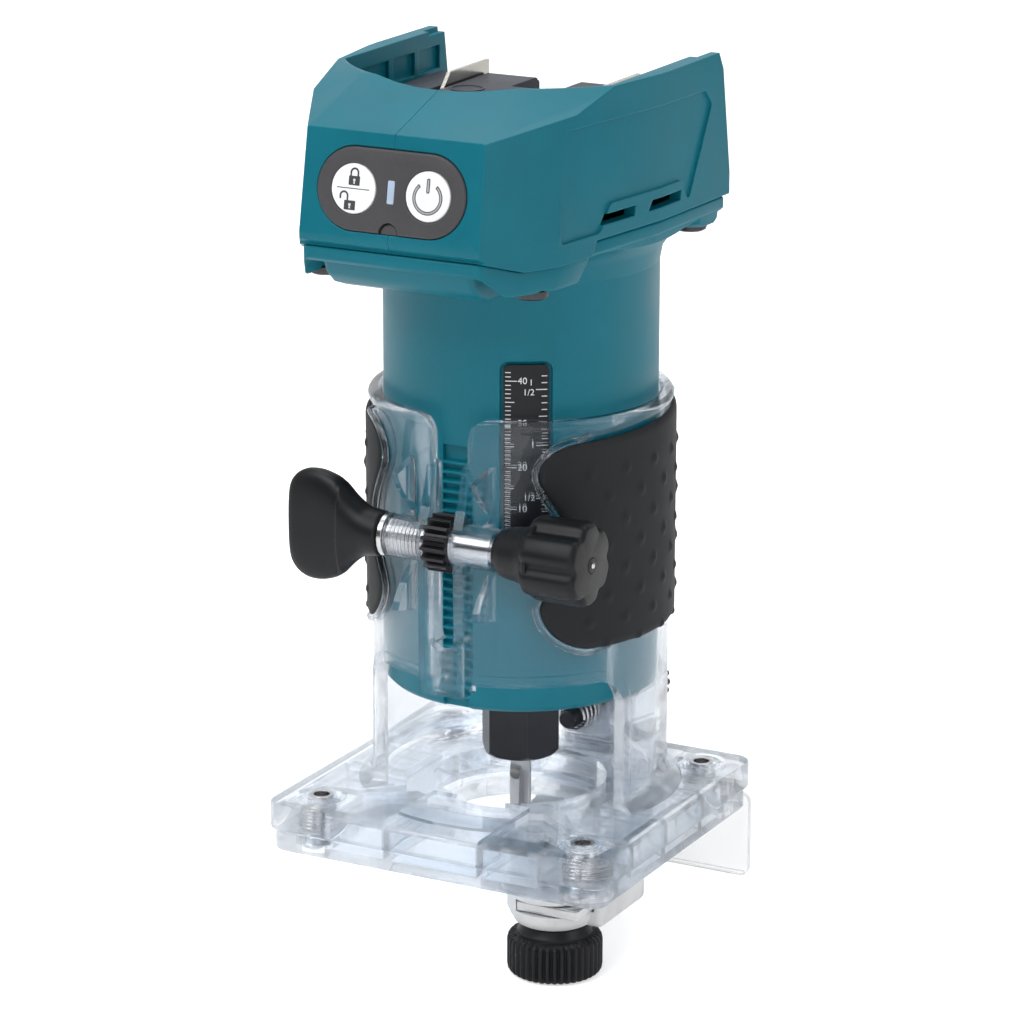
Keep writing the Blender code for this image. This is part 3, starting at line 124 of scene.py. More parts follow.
# Head
HEAD_LOW_Z = SEAM_Z + GAP
RIDGE_Z = 180.0
RIDGE_Y = -59.8
BAY_RIM_Z = 186.7
BAY_RIM_Y = -40.0
RAIL_TOP_Z = 188.0
BAY_HALF_X = 34.4
BAY_FLOOR_Z = 171.5
HEAD_WALL = 2.5
HEAD_SCREWS = [(-26.4, -45.4), (26.4, -45.4), (-33.2, 22.0), (33.2, 22.0)]
CORNER_FOOT = [(21.3, -66.0), (28.4, -52.6), (32.6, -44.6)]  # corner facets, seen from above
CORNER_LEAN = 0.087  # how far they come in per millimetre of height
LEAN_FROM_Z = 157.0
PANEL_LOW = Vector((0.0, -63.4, 158.0))
PANEL_HIGH = Vector((0.0, -60.0, 178.0))
PANEL_CENTRE_Z = 167.5
BEZEL_HALF = (18.75, 9.35)
BUTTON_X = 9.4
BUTTON_R = 5.6

# Edge guide
CLAMP_AXIS_Z = 18.4
ARM_Y = 46.6
ARM_THICK = 2.5
STRIP_TOP_Z = -4.0
GUIDE_KNOB = (24.5, -29.0)
BRACKET_SCREW = (1.0, 38.0)
SHIELD_SCREWS_X = (-4.5, 7.5)
SHIELD_SCREW_Z = -10.4
ROLLER = (9.5, -12.0)
HOLDER_LOW_Z = -10.8


# ---------------------------------------------------------------- shapes


def object_of(bm, label="shape"):
    """A new object from a bmesh, with doubled points merged and its faces pointing out."""
    bmesh.ops.remove_doubles(bm, verts=bm.verts, dist=1e-4)
    bmesh.ops.recalc_face_normals(bm, faces=bm.faces)
    mesh = bpy.data.meshes.new(label)
    bm.to_mesh(mesh)
    bm.free()
    obj = bpy.data.objects.new(label, mesh)
    bpy.context.scene.collection.objects.link(obj)
    return obj


def prism(outline, low, high):
    """The closed outline of (x, y) points, extruded from low to high along Z."""
    bm = bmesh.new()
    face = bm.faces.new([bm.verts.new((x, y, low)) for x, y in outline])
    grown = bmesh.ops.extrude_face_region(bm, geom=[face])["geom"]
    top = [item for item in grown if isinstance(item, bmesh.types.BMVert)]
    bmesh.ops.translate(bm, verts=top, vec=(0, 0, high - low))
    return object_of(bm)


def lofted(outline, stations):
    """The outline skinned through (scale, z) stations along Z."""
    bm = bmesh.new()
    rings = [[bm.verts.new((x * k, y * k, z)) for x, y in outline] for k, z in stations]
    for lower, upper in zip(rings, rings[1:]):
        for i in range(len(outline)):
            bm.faces.new((lower[i - 1], lower[i], upper[i], upper[i - 1]))
    bm.faces.new(rings[0])
    bm.faces.new(rings[-1])
    return object_of(bm)


def box(low, high):
    outline = [(low[0], low[1]), (high[0], low[1]), (high[0], high[1]), (low[0], high[1])]
    return prism(outline, low[2], high[2])


def turned(profile, steps=MEDIUM):
    """The closed profile of (radius, z) points, turned once round Z."""
    bm = bmesh.new()
    points = [bm.verts.new((r, 0, z)) for r, z in profile]
    edges = [
        bm.edges.new((points[i - 1], points[i]))
        for i in range(len(points))
        if profile[i - 1][0] > 0 or profile[i][0] > 0
    ]
    bmesh.ops.spin(
        bm, geom=points + edges, cent=(0, 0, 0), axis=(0, 0, 1), angle=2 * pi,
        steps=steps, use_merge=True,
    )
    return object_of(bm)


def cylinder(radius, low, high, steps=SMALL):
    return turned([(0, low), (radius, low), (radius, high), (0, high)], steps)


def tube(inner, outer, low, high, steps=MEDIUM):
    return turned([(inner, low), (outer, low), (outer, high), (inner, high)], steps)


def moved(obj, matrix):
    obj.data.transform(matrix)
    return obj


def shift(obj, x, y, z=0.0):
    return moved(obj, Matrix.Translation((x, y, z)))


def along_x(obj, x, y, z):
    """Lays a shape made round Z along +X, with its origin at (x, y, z)."""
    return moved(obj, Matrix.Translation((x, y, z)) @ Matrix.Rotation(pi / 2, 4, "Y"))


def along_y(obj, x, y, z):
    """Lays a shape made round Z along +Y, with its origin at (x, y, z)."""
    return moved(obj, Matrix.Translation((x, y, z)) @ Matrix.Rotation(-pi / 2, 4, "X"))


def side_plate(profile, low_x, high_x):
    """A (y, z) profile extruded along X."""
    plate = prism(profile, low_x, high_x)
    turn = Matrix(((0, 0, 1, 0), (1, 0, 0, 0), (0, 1, 0, 0), (0, 0, 0, 1)))
    return moved(plate, turn)


def upright(outline, low_y, high_y):
    """An (x, z) outline extruded along Y."""
    plate = prism(outline, -high_y, -low_y)
    return moved(plate, Matrix(((1, 0, 0, 0), (0, 0, -1, 0), (0, 1, 0, 0), (0, 0, 0, 1))))


def polar(radius, degrees):
    """A point at this angle from the front (-Y), counted towards +X."""
    angle = radians(degrees)
    return (radius * sin(angle), -radius * cos(angle))


def arc(centre, radius, start, end, steps):
    """Points on a circle, by ordinary angle from +X in degrees."""
    angles = [radians(start + (end - start) * i / steps) for i in range(steps + 1)]
    return [(centre[0] + radius * cos(a), centre[1] + radius * sin(a)) for a in angles]


def rounded_rectangle(low, high, radius, steps=4):
    corners = [
        ((high[0] - radius, high[1] - radius), 0),
        ((low[0] + radius, high[1] - radius), 90),
        ((low[0] + radius, low[1] + radius), 180),
        ((high[0] - radius, low[1] + radius), 270),
    ]
    points = []
    for centre, start in corners:
        points += arc(centre, radius, start, start + 90, steps)
    return points


def mirrored(half):
    """A whole outline from its right half, given from the front to the rear."""
    return half + [(-x, y) for x, y in reversed(half) if x > 1e-6]


def combine(body, operation, tools):
    """Applies one Boolean for each tool and removes the tools."""
    for tool in tools:
        step = body.modifiers.new(operation, "BOOLEAN")
        step.operation = operation
        step.solver = "EXACT"
        step.object = tool
        tool.hide_render = True
        tool.display_type = "WIRE"
    bake(body)
    for tool in tools:
        bpy.data.objects.remove(tool, do_unlink=True)
    return body


def bake(body):
    graph = bpy.context.evaluated_depsgraph_get()
    graph.update()
    mesh = bpy.data.meshes.new_from_object(body.evaluated_get(graph))
    body.modifiers.clear()
    bm = bmesh.new()
    bm.from_mesh(mesh)
    bmesh.ops.remove_doubles(bm, verts=bm.verts, dist=1e-3)
    bmesh.ops.dissolve_degenerate(bm, edges=bm.edges, dist=1e-3)
    bm.to_mesh(mesh)
    bm.free()
    body.data = mesh


def join(body, *tools):
    return combine(body, "UNION", tools)


def cut(body, *tools):
    return combine(body, "DIFFERENCE", tools)


def keep(body, tool):
    return combine(body, "INTERSECT", [tool])


def bevelled(body, width, segments=1, angle=30):
    step = body.modifiers.new("edges", "BEVEL")
    step.width = width
    step.segments = segments
    step.limit_method = "ANGLE"
    step.angle_limit = radians(angle)
    bake(body)
    return body


def plate_outline(inset):
    low = (-BASE_HALF_X + inset, BASE_FRONT_Y + inset)
    high = (BASE_HALF_X - inset, BASE_REAR_Y - inset)
    return rounded_rectangle(low, high, BASE_CORNER_R - inset * 0.5)


def pocket_outlines():
    """The hollows under the base plate, between its ribs, at the four sides of the hole."""
    front = BASE_FRONT_Y + 2.6
    side = BASE_HALF_X - 2.6
    half = [
        [(13.5, front), (27.5, front), (27.5, -27.0), (17.0, -20.5), (13.5, -22.0)],
        [(29.5, -27.0), (side, -27.0), (side, -11.0), (25.5, -11.0), (21.5, -18.0)],
        [(26.5, -9.0), (side, -9.0), (side, 9.0), (26.5, 9.0)],
        [(25.5, 11.0), (side, 11.0), (side, 20.0), (20.0, 20.0), (21.5, 16.0)],
        [(13.5, 22.0), (27.0, 22.0), (27.0, BASE_REAR_Y - 2.6), (13.5, BASE_REAR_Y - 2.6)],
    ]
    middle = [
        [(-11.5, front), (11.5, front), (11.5, -24.5), (-11.5, -24.5)],
        [(-11.5, 24.5), (11.5, 24.5), (11.5, BASE_REAR_Y - 2.6), (-11.5, BASE_REAR_Y - 2.6)],
    ]
    left = [[(-x, y) for x, y in reversed(outline)] for outline in half]
    return half + left + middle


def base_plate():
    plate = bevelled(prism(plate_outline(0), PLATE_LOW_Z, PLATE_TOP_Z), 0.6, 2, 60)
    hollows = [
        prism(outline, PLATE_LOW_Z - 1, PLATE_TOP_Z - PLATE_SKIN) for outline in pocket_outlines()
    ]
    cut(plate, *hollows)
    recess = prism([(-13, -60), (13, -60), (13, -20), (-13, -20)], PLATE_TOP_Z - 1.2, 20)
    posts = [
        shift(cylinder(3.6 + RUNNING + 0.1, PLATE_LOW_Z - 1, PLATE_TOP_Z + 1), x, y)
        for x, y in BASE_SCREWS
    ]
    hole = cylinder(PLATE_HOLE_R, 0, 30, LARGE)
    return cut(plate, recess, hole, *posts)


def wrapped(outline, inner, outer, columns):
    """An outline of (arc length at the sleeve, z) bent round the motor axis."""
    wide = max(x for x, _ in outline)
    flat = prism(outline, 0.0, outer - inner)
    slices = flat.data
    bm = bmesh.new()
    bm.from_mesh(slices)
    for i in range(1, 2 * columns):
        x = -wide + wide * i / columns
        bmesh.ops.bisect_plane(
            bm, geom=bm.verts[:] + bm.edges[:] + bm.faces[:], plane_co=(x, 0, 0),
            plane_no=(1, 0, 0), dist=1e-4,
        )
    bmesh.ops.triangulate(bm, faces=bm.faces)
    for vert in bm.verts:
        angle = vert.co.x / SLEEVE_OUTER_R
        radius = inner + vert.co.z
        vert.co = (radius * sin(angle), -radius * cos(angle), vert.co.y)
    bpy.data.objects.remove(flat, do_unlink=True)
    return object_of(bm)


def split_cutter():
    """The clamp's slot, with the rim's corners rounded away above the ears."""
    outline = [(SPLIT_HALF_X, 97.0), (SPLIT_HALF_X, 98.4), (4.6, 99.2), (4.6, 104.0)]
    outline += arc((9.6, 104.8), 5.0, 180, 90, 5)
    outline += [(9.6, 120.0)]
    whole = outline + [(-x, z) for x, z in reversed(outline)]
    return upright(whole, -50, -25)


def ear_profile(inner_y):
    """The clamp ear from the side, as (y, z): a boss round the shaft, tapering both ways."""
    boss = arc((SHAFT_Y, SHAFT_Z), 5.0, 120, 240, 8)
    above = [(inner_y, 98.0), (-35.6, 98.0), (-37.2, 92.0)]
    below = [(-40.0, 69.0), (-40.0, 44.0), (inner_y, 44.0)]
    return above + boss + below


def clamp_boss():
    """The block at the back of the sleeve that carries the edge guide's clamp screw."""
    return box((-7.5, 34.0, PLATE_LOW_Z + 0.7), (7.5, ARM_Y - GAP, 27.0))


def grip_edge(z):
    """The angle from the front at which the grip begins, waisted beside the clamp."""
    along = min(max((z - SHAFT_Z) / 15.5, -1), 1)
    waist = 11.0 * (0.5 + 0.5 * cos(pi * along)) ** 0.7
    low = min(max(0.0, GRIP_LOW_Z + 11.5 - z) / 11.5, 1)
    high = min(max(0.0, z - GRIP_TOP_Z + 6.5) / 6.5, 1)
    corners = 22.0 * (1 - sqrt(1 - low**2)) + 16.0 * (1 - sqrt(1 - high**2))
    return GRIP_START + waist + corners


def head_half_outline(inset=0.0, front=-66.0, rear=30.0):
    """The head seen from above: right half, from the front centre to the rear."""
    (first_x, first_y), (second_x, second_y), (third_x, third_y) = CORNER_FOOT
    along = (second_x - first_x) / (second_y - first_y)
    corner = first_x + along * (front - first_y) - inset * 1.13
    return [
        (0, front), (corner, front), (second_x - inset * 0.9, second_y + inset * 0.47),
        (third_x - inset, third_y + inset * 0.2), (38.3 - inset, -4.0), (39.4 - inset, rear),
        (0, rear),
    ]


def rack():
    """Straight teeth down the front of the motor housing, as (y, z) zigzag."""
    pitch = pi * TOOTH_MODULE
    tip, root = RACK_PITCH_Y - TOOTH_MODULE, RACK_PITCH_Y + 1.2 * TOOTH_MODULE
    half, slope = pitch * 0.235, pitch * 0.11
    count = int((SHAFT_Z - MOTOR_LOW_Z) / pitch)
    first = SHAFT_Z - (count - 0.5) * pitch
    total = int((RACK_TOP_Z - first) / pitch)
    profile = [(root + 1.2, first - half - slope - 0.5), (root, first - half - slope - 0.5)]
    for i in range(total):
        middle = first + i * pitch
        profile += [(root, middle - half - slope), (tip, middle - half + slope),
                    (tip, middle + half - slope), (root, middle + half + slope)]
    last = profile[-1][1] + 0.5
    profile += [(root, last), (root + 1.2, last)]
    return side_plate(profile, -SPLIT_HALF_X - 0.4, SPLIT_HALF_X + 0.4)


def motor_shell():
    """The round motor body, and the flare that carries it out to the flange."""
    body = turned(
        [(0, MOTOR_LOW_Z), (31.4, MOTOR_LOW_Z), (MOTOR_R, MOTOR_LOW_Z + 1.1),
         (MOTOR_R, 146.0), (30.4, SEAM_Z - 0.6), (0, SEAM_Z - 0.6)], LARGE)
    flare = turned(
        [(0, 141.2), (MOTOR_R + 0.05, 141.2), (33.2, 144.6), (35.2, 147.6), (39.0, 149.6),
         (44.0, FLANGE_LOW_Z + 0.6), (44.0, SEAM_Z - 0.4), (0, SEAM_Z - 0.4)], LARGE)
    keep(flare, prism(mirrored(head_half_outline(1.4, -61.0, 28.0)), 0, 200))
    return join(body, flare)


def flange_outline(more=0.0):
    return mirrored(head_half_outline(0.9 - more, -62.2 - more, 29.5 + more))


def flange():
    """The plate under the head, with a boss for each corner screw."""
    plate = bevelled(prism(flange_outline(), FLANGE_LOW_Z, SEAM_Z), 0.8, 1)
    for x, y in HEAD_SCREWS:
        lobe = turned(
            [(0, 147.9), (5.4, 147.9), (6.4, 148.8), (7.2, SEAM_Z - 1), (0, SEAM_Z - 1)], SMALL)
        join(plate, keep(shift(lobe, x, y), prism(flange_outline(-0.3), 140, SEAM_Z)))
    return plate


def solid_between(low_ring, high_ring):
    """A closed block skinned between two rings of four points."""
    bm = bmesh.new()
    low = [bm.verts.new(point) for point in low_ring]
    high = [bm.verts.new(point) for point in high_ring]
    for i in range(4):
        bm.faces.new((low[i - 1], low[i], high[i], high[i - 1]))
    bm.faces.new(low)
    bm.faces.new(high)
    return object_of(bm)


def corner_leans(side):
    """Cutters that make the corner's two facets lean inwards with height."""
    cutters = []
    for start, end in zip(CORNER_FOOT, CORNER_FOOT[1:]):
        a, b = Vector(start), Vector(end)
        along = (b - a).normalized()
        out = Vector((along.y, -along.x))
        rings = []
        for level in (LEAN_FROM_Z - 7, RAIL_TOP_Z + 7):
            inward = (level - LEAN_FROM_Z) * CORNER_LEAN
            low, high = a - along * 6 - out * inward, b + along * 9 - out * inward
            rings.append([(side * p.x, p.y, level)
                          for p in (low, high, high + out * 20, low + out * 20)])
        cutters.append(solid_between(*rings))
    return cutters


def panel_frame():
    """The leaning front panel: local X is along it, Y up it and Z out of it."""
    up = (PANEL_HIGH - PANEL_LOW).normalized()
    share = (PANEL_CENTRE_Z - PANEL_LOW.z) / (PANEL_HIGH.z - PANEL_LOW.z)
    centre = PANEL_LOW.lerp(PANEL_HIGH, share)
    across = Vector((1, 0, 0))
    out = across.cross(up)
    frame = Matrix((across, up, out)).transposed().to_4x4()
    return Matrix.Translation(centre) @ frame


def stadium(half_x, half_y, steps=10):
    reach = half_x - half_y
    return arc((reach, 0), half_y, -90, 90, steps) + arc((-reach, 0), half_y, 90, 270, steps)


def below_plane(points):
    """A big wedge in front of or above a line of (y, z) points, to cut the head with."""
    return side_plate(points, -80, 80)


def bay_cutter():
    """The battery bay: open to the rear, with a bowed front wall."""
    front = arc((0, 1.9), 41.9, 180 + 34.8, 360 - 34.8, 14)
    outline = front + [(BAY_HALF_X, 60.0), (-BAY_HALF_X, 60.0)]
    return prism(outline, BAY_FLOOR_Z, 200)


def head_cavity():
    lower = prism(mirrored(head_half_outline(HEAD_WALL + 0.4, -59.6, 27.0)),
                  HEAD_LOW_Z - 5, BAY_FLOOR_Z - HEAD_WALL)
    nose = prism([(-18, -57.6), (18, -57.6), (24.0, -50.6), (27.4, -43.5), (-27.4, -43.5),
                  (-24.0, -50.6)], 160, 176.4)
    join(lower, nose)
    return lower


# ---------------------------------------------------------------- materials


class Graph:
    """A small helper that adds nodes to a material and links them."""

    def __init__(self, name):
        self.material = bpy.data.materials.new(name)
        self.material.use_nodes = True
        self.tree = self.material.node_tree
        self.shader = self.tree.nodes["Principled BSDF"]
        self.output = self.tree.nodes["Material Output"]
        coordinates = self.tree.nodes.new("ShaderNodeTexCoord")
        self.place = coordinates.outputs["Object"]

    def node(self, kind, **inputs):
        made = self.tree.nodes.new(kind)
        for key, value in inputs.items():
            socket = made.inputs[key.replace("_", " ")]
            if isinstance(value, bpy.types.NodeSocket):
                self.tree.links.new(value, socket)
            else:
                socket.default_value = value
        return made

    def link(self, source, target):
        self.tree.links.new(source, target)

    def noise(self, size, detail=2.0, stretch=(1, 1, 1), roughness=0.5):
        """Noise with features of about this size in millimetres, from 0 to 1."""
        mapping = self.node("ShaderNodeMapping", Vector=self.place)
        mapping.inputs["Scale"].default_value = [1000.0 / (size * s) for s in stretch]
        made = self.node("ShaderNodeTexNoise", Vector=mapping.outputs[0], Scale=1.0, Detail=detail)
        made.inputs["Roughness"].default_value = roughness
        return made.outputs["Fac"]

    def ramp(self, value, low, high, low_out=0.0, high_out=1.0):
        made = self.node("ShaderNodeMapRange", Value=value, From_Min=low, From_Max=high,
                         To_Min=low_out, To_Max=high_out)
        return made.outputs[0]

    def mix(self, share, first, second):
        made = self.tree.nodes.new("ShaderNodeMix")
        made.data_type = "RGBA"
        for socket, value in ((made.inputs[0], share), (made.inputs[6], first),
                              (made.inputs[7], second)):
            if isinstance(value, bpy.types.NodeSocket):
                self.link(value, socket)
            elif isinstance(value, tuple) and len(value) == 3:
                socket.default_value = (*value, 1.0)
            else:
                socket.default_value = value
        return made.outputs[2]

    def rounding(self, radius):
        """The normal of an edge rounded to this radius in millimetres."""
        made = self.tree.nodes.new("ShaderNodeBevel")
        made.samples = 4
        made.inputs["Radius"].default_value = radius * MM
        return made.outputs[0]

    def edges(self, rounded):
        """How far the surface is turned at an edge: 0 on a flat, 1 on a corner."""
        geometry = self.tree.nodes.new("ShaderNodeNewGeometry")
        dot = self.tree.nodes.new("ShaderNodeVectorMath")
        dot.operation = "DOT_PRODUCT"
        self.link(rounded, dot.inputs[0])
        self.link(geometry.outputs["Normal"], dot.inputs[1])
        return self.ramp(dot.outputs["Value"], 1.0, 0.8)

    def bump(self, height, depth, normal=None):
        """Relief of this depth in millimetres."""
        made = self.node("ShaderNodeBump", Height=height, Strength=1.0, Distance=depth * MM)
        if normal is not None:
            self.link(normal, made.inputs["Normal"])
        return made.outputs[0]

    def set(self, **inputs):
        for key, value in inputs.items():
            socket = self.shader.inputs[key.replace("_", " ")]
            if isinstance(value, bpy.types.NodeSocket):
                self.link(value, socket)
            elif isinstance(value, tuple) and len(value) == 3:
                socket.default_value = (*value, 1.0)
            else:
                socket.default_value = value


def tinted(colour, factor):
    return tuple(min(c * factor, 1.0) for c in colour)


def moulded(name, colour, roughness, grain=0.12, depth=0.012, edge=1.35, radius=0.35, shine=0.24):
    """Moulded plastic: a fine eroded grain, faint clouding, and edges painted paler by the factor
    edge, partly as rubbed wear and partly as painted highlight.
    """
    g = Graph(name)
    rounded = g.rounding(radius)
    clouds = g.noise(14.0, 3.0)
    fine = g.noise(grain, 2.0)
    flecks = g.ramp(g.noise(grain * 2.2, 1.0), 0.55, 0.8)
    body = g.mix(g.ramp(clouds, 0.3, 0.7), tinted(colour, 0.94), tinted(colour, 1.05))
    body = g.mix(g.ramp(flecks, 0, 1, 0.0, 0.14), body, tinted(colour, 1.6))
    # paler edges: partly rubbed wear, partly a painted highlight where a rounded edge catches the
    # light
    wear_and_edge_highlight = g.mix(g.edges(rounded), body, tinted(colour, edge))
    g.set(Base_Color=wear_and_edge_highlight, Normal=g.bump(fine, depth, rounded),
          Roughness=g.ramp(clouds, 0.3, 0.7, roughness - 0.04, roughness + 0.05),
          Specular_IOR_Level=shine)
    return g.material


def clear(name, tint, roughness, ripple=0.004, straight=0.35):
    """Clear plastic with moulding ripples. A share of the light goes straight through it."""
    g = Graph(name)
    waves = g.noise(6.0, 2.0)
    scratches = g.noise(0.5, 3.0, (1, 1, 14))
    g.set(Base_Color=tint, IOR=1.45, Transmission_Weight=1.0,
          Roughness=g.ramp(scratches, 0.6, 0.85, roughness, roughness + 0.03),
          Normal=g.bump(waves, ripple))
    light = g.tree.nodes.new("ShaderNodeLightPath")
    glow = g.node("ShaderNodeBsdfTransparent", Color=(*tint, 1.0))
    share = g.ramp(light.outputs["Is Shadow Ray"], 0, 1, straight, 1.0)
    blend = g.node("ShaderNodeMixShader", Fac=share)
    g.link(g.shader.outputs[0], blend.inputs[1])
    g.link(glow.outputs[0], blend.inputs[2])
    g.link(blend.outputs[0], g.output.inputs["Surface"])
    return g.material


def metal(name, colour, roughness, stretch=(1, 1, 1), grain=0.6, depth=0.004, radius=0.2, edge=1.5,
          metallic=1.0):
    """Metal with machining lines or a blasted grain, its colour painted brighter along its edges by
    the factor edge, partly as rubbed wear and partly as painted highlight.
    """
    g = Graph(name)
    rounded = g.rounding(radius)
    lines = g.noise(grain, 3.0, stretch)
    stains = g.noise(9.0, 3.0)
    body = g.mix(g.ramp(stains, 0.35, 0.7), tinted(colour, 0.88), tinted(colour, 1.06))
    # brighter edges: a painted highlight on rounded edges, also standing for rubbed wear
    body = g.mix(g.edges(rounded), body, tinted(colour, edge))
    g.set(Base_Color=body, Metallic=metallic, Normal=g.bump(lines, depth, rounded),
          Roughness=g.ramp(lines, 0.3, 0.7, roughness * 0.8, roughness * 1.25))
    return g.material


def printed(name, colour, roughness=0.45):
    """Ink: flat colour with faint unevenness."""
    g = Graph(name)
    g.set(Base_Color=g.mix(g.noise(0.4), tinted(colour, 0.93), colour), Roughness=roughness)
    return g.material


TEAL = (0.0, 0.138, 0.190)
FINISHES = {
    "teal_plastic": moulded("teal_plastic", TEAL, 0.40, 0.16, 0.014, 1.5, 0.5),
    "black_rubber": moulded("black_rubber", (0.0125, 0.014, 0.017), 0.6, 0.2, 0.02, 1.6, 0.4),
    "black_plastic": moulded("black_plastic", (0.0085, 0.009, 0.0105), 0.38, 0.14, 0.014, 1.8, 0.4),
    "panel_grey": moulded("panel_grey", (0.068, 0.066, 0.07), 0.42, 0.35, 0.03, 1.5, 0.3),
    "button_white": moulded("button_white", (0.90, 0.91, 0.93), 0.35, 0.3, 0.003, 1.05, 0.3),
    "window_blue": moulded("window_blue", (0.42, 0.52, 0.66), 0.2, 0.8, 0.002, 1.1, 0.2),
    "terminal_grey": moulded("terminal_grey", (0.045, 0.05, 0.062), 0.5, 0.18, 0.02, 1.5, 0.3),
    "scale_black": moulded("scale_black", (0.012, 0.013, 0.015), 0.3, 0.5, 0.003, 1.4, 0.2),
    "green_board": moulded("green_board", (0.01, 0.12, 0.05), 0.3, 1.2, 0.01, 1.3, 0.2),
    "clear_plastic": clear("clear_plastic", (0.93, 0.955, 0.985), 0.0, 0.0012, 0.3),
    "clear_shield": clear("clear_shield", (0.97, 0.975, 0.98), 0.09, 0.002),
    "bright_steel": metal("bright_steel", (0.60, 0.60, 0.61), 0.24, (1, 1, 0.1)),
    "turned_steel": metal("turned_steel", (0.62, 0.62, 0.63), 0.22, (0.1, 1, 1)),
    "dark_steel": metal("dark_steel", (0.07, 0.07, 0.075), 0.38, grain=0.8),
    "black_oxide": metal("black_oxide", (0.03, 0.03, 0.034), 0.36, grain=0.3, depth=0.006,
                         edge=2.4, metallic=0.75),
    "cast_aluminium": metal("cast_aluminium", (0.66, 0.66, 0.66), 0.6, grain=0.5, depth=0.045,
                            edge=1.1, metallic=0.3),
    "cutter_steel": metal("cutter_steel", (0.52, 0.52, 0.53), 0.42, (1, 1, 0.15), metallic=0.7),
    "copper_winding": metal("copper_winding", (0.60, 0.24, 0.09), 0.35, (1, 1, 0.05)),
    "nickel_contact": metal("nickel_contact", (0.72, 0.70, 0.64), 0.2, (0.1, 1, 1)),
    "white_ink": printed("white_ink", (0.78, 0.79, 0.80)),
    "mid_ink": printed("mid_ink", (0.42, 0.42, 0.43)),
    "grey_ink": printed("grey_ink", (0.05, 0.052, 0.058)),
}


# ---------------------------------------------------------------- pieces


def piece(body, name, rides, finish, *nodes, slot=None, sharp=35):
    """Turns a shape made in millimetres into a piece that moves with a body."""
    body.data.transform(Matrix.Scale(MM, 4))
    body.name = name
    body.data.name = name
    body.data.materials.clear()
    body.data.materials.append(FINISHES[finish])
    body.data.shade_smooth()
    body.data.set_sharp_from_angle(angle=radians(sharp))
    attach(body, rides)
    if nodes:
        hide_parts(*nodes)
    return body


def grid_sheet(point, rows, columns, closed=False):
    """A surface of quads through point(u, v), with u and v from 0 to 1."""
    bm = bmesh.new()
    sheet = [[bm.verts.new(point(j / columns, i / rows))
              for j in range(columns if closed else columns + 1)] for i in range(rows + 1)]
    for low, high in zip(sheet, sheet[1:]):
        for j in range(columns):
            k = (j + 1) % len(low)
            bm.faces.new((low[j], low[k], high[k], high[j]))
    return bm, sheet


def swept(path, radius, around=10, closed=False):
    """A round wire along a path of points."""
    points = [Vector(p) for p in path]
    count = len(points)
    bm = bmesh.new()
    rings = []
    side = None
    for i, p in enumerate(points):
        if closed:
            along = (points[(i + 1) % count] - points[i - 1]).normalized()
        else:
            along = (points[min(i + 1, count - 1)] - points[max(i - 1, 0)]).normalized()
        if side is None:
            side = along.orthogonal().normalized()
        side = (side - along * side.dot(along)).normalized()
        other = along.cross(side)
        rings.append([bm.verts.new(p + (side * cos(2 * pi * k / around)
                                        + other * sin(2 * pi * k / around)) * radius)
                      for k in range(around)])
    pairs = list(zip(rings, rings[1:]))
    if closed:
        pairs.append((rings[-1], rings[0]))
    for a, b in pairs:
        for k in range(around):
            bm.faces.new((a[k - 1], a[k], b[k], b[k - 1]))
    if not closed:
        bm.faces.new(rings[0])
        bm.faces.new(rings[-1])
    return object_of(bm)


def smooth_stations(stations, steps):
    """Catmull-Rom points through rows of numbers."""
    found = []
    last = len(stations) - 1
    for i in range(last):
        before, a = stations[max(i - 1, 0)], stations[i]
        b, after = stations[i + 1], stations[min(i + 2, last)]
        for s in range(steps):
            t = s / steps
            found.append(tuple(
                0.5 * (2 * q + (r - p) * t + (2 * p - 5 * q + 4 * r - w) * t**2
                       + (3 * q - p - 3 * r + w) * t**3)
                for p, q, r, w in zip(before, a, b, after)))
    return found + [stations[-1]]


# ---------------------------------------------------------------- clear base


def sleeve():
    """The clear sleeve with a thick lip round its window."""
    body = turned(
        [(SLEEVE_INNER_R - 1.5, PLATE_TOP_Z - 0.6), (39.6, PLATE_TOP_Z - 0.6),
         (38.6, PLATE_TOP_Z + 0.6), (37.0, PLATE_TOP_Z + 1.8), (36.0, PLATE_TOP_Z + 3.6),
         (SLEEVE_OUTER_R, PLATE_TOP_Z + 6.6), (SLEEVE_OUTER_R, SLEEVE_RIM_Z - 3.2),
         (SLEEVE_OUTER_R + 0.6, SLEEVE_RIM_Z - 2.2), (SLEEVE_OUTER_R + 0.8, SLEEVE_RIM_Z - 1.4),
         (SLEEVE_OUTER_R + 0.6, SLEEVE_RIM_Z - 0.6), (SLEEVE_OUTER_R, SLEEVE_RIM_Z),
         (SLEEVE_INNER_R - 1.5, SLEEVE_RIM_Z)], LARGE)
    join(body, window_shape(2.6, 33.5, SLEEVE_OUTER_R + 0.7))
    return cut(body, window_shape(0.0, 28.0, 44.0))


def window_shape(grow, inner, outer):
    """The window's outline, grown by this much, as a bent block."""
    reach = SLEEVE_OUTER_R * radians(WINDOW_HALF_ANGLE) + grow
    corner = 8.0 + grow
    flat = rounded_rectangle((-reach, -20), (reach, WINDOW_TOP_Z + grow), corner, 10)
    flat = [(x, max(z, PLATE_TOP_Z)) for x, z in flat]
    outline = []
    for point in flat:
        if not outline or (Vector(point) - Vector(outline[-1])).length > 0.01:
            outline.append(point)
    opening = wrapped(outline, inner, outer, 16)
    return moved(opening, Matrix.Rotation(radians(WINDOW_TURN), 4, "Z"))


def sail(side, height):
    """A curved web that sweeps from the shaft boss to the sleeve."""
    root_z = SHAFT_Z + height * 3.6
    outer = arc((-26.5, SHAFT_Z + height * 23.0), 17.6, -height * 104, -height * 158, 10)
    outline = [(-31.6, root_z), (SHAFT_Y - 2.6, root_z)] + [
        (y, z) for y, z in outer if y < -31.8] + [(-31.6, SHAFT_Z + height * 19.0)]
    low, high = sorted((side * 9.5, side * 11.2))
    return side_plate(outline, low, high)


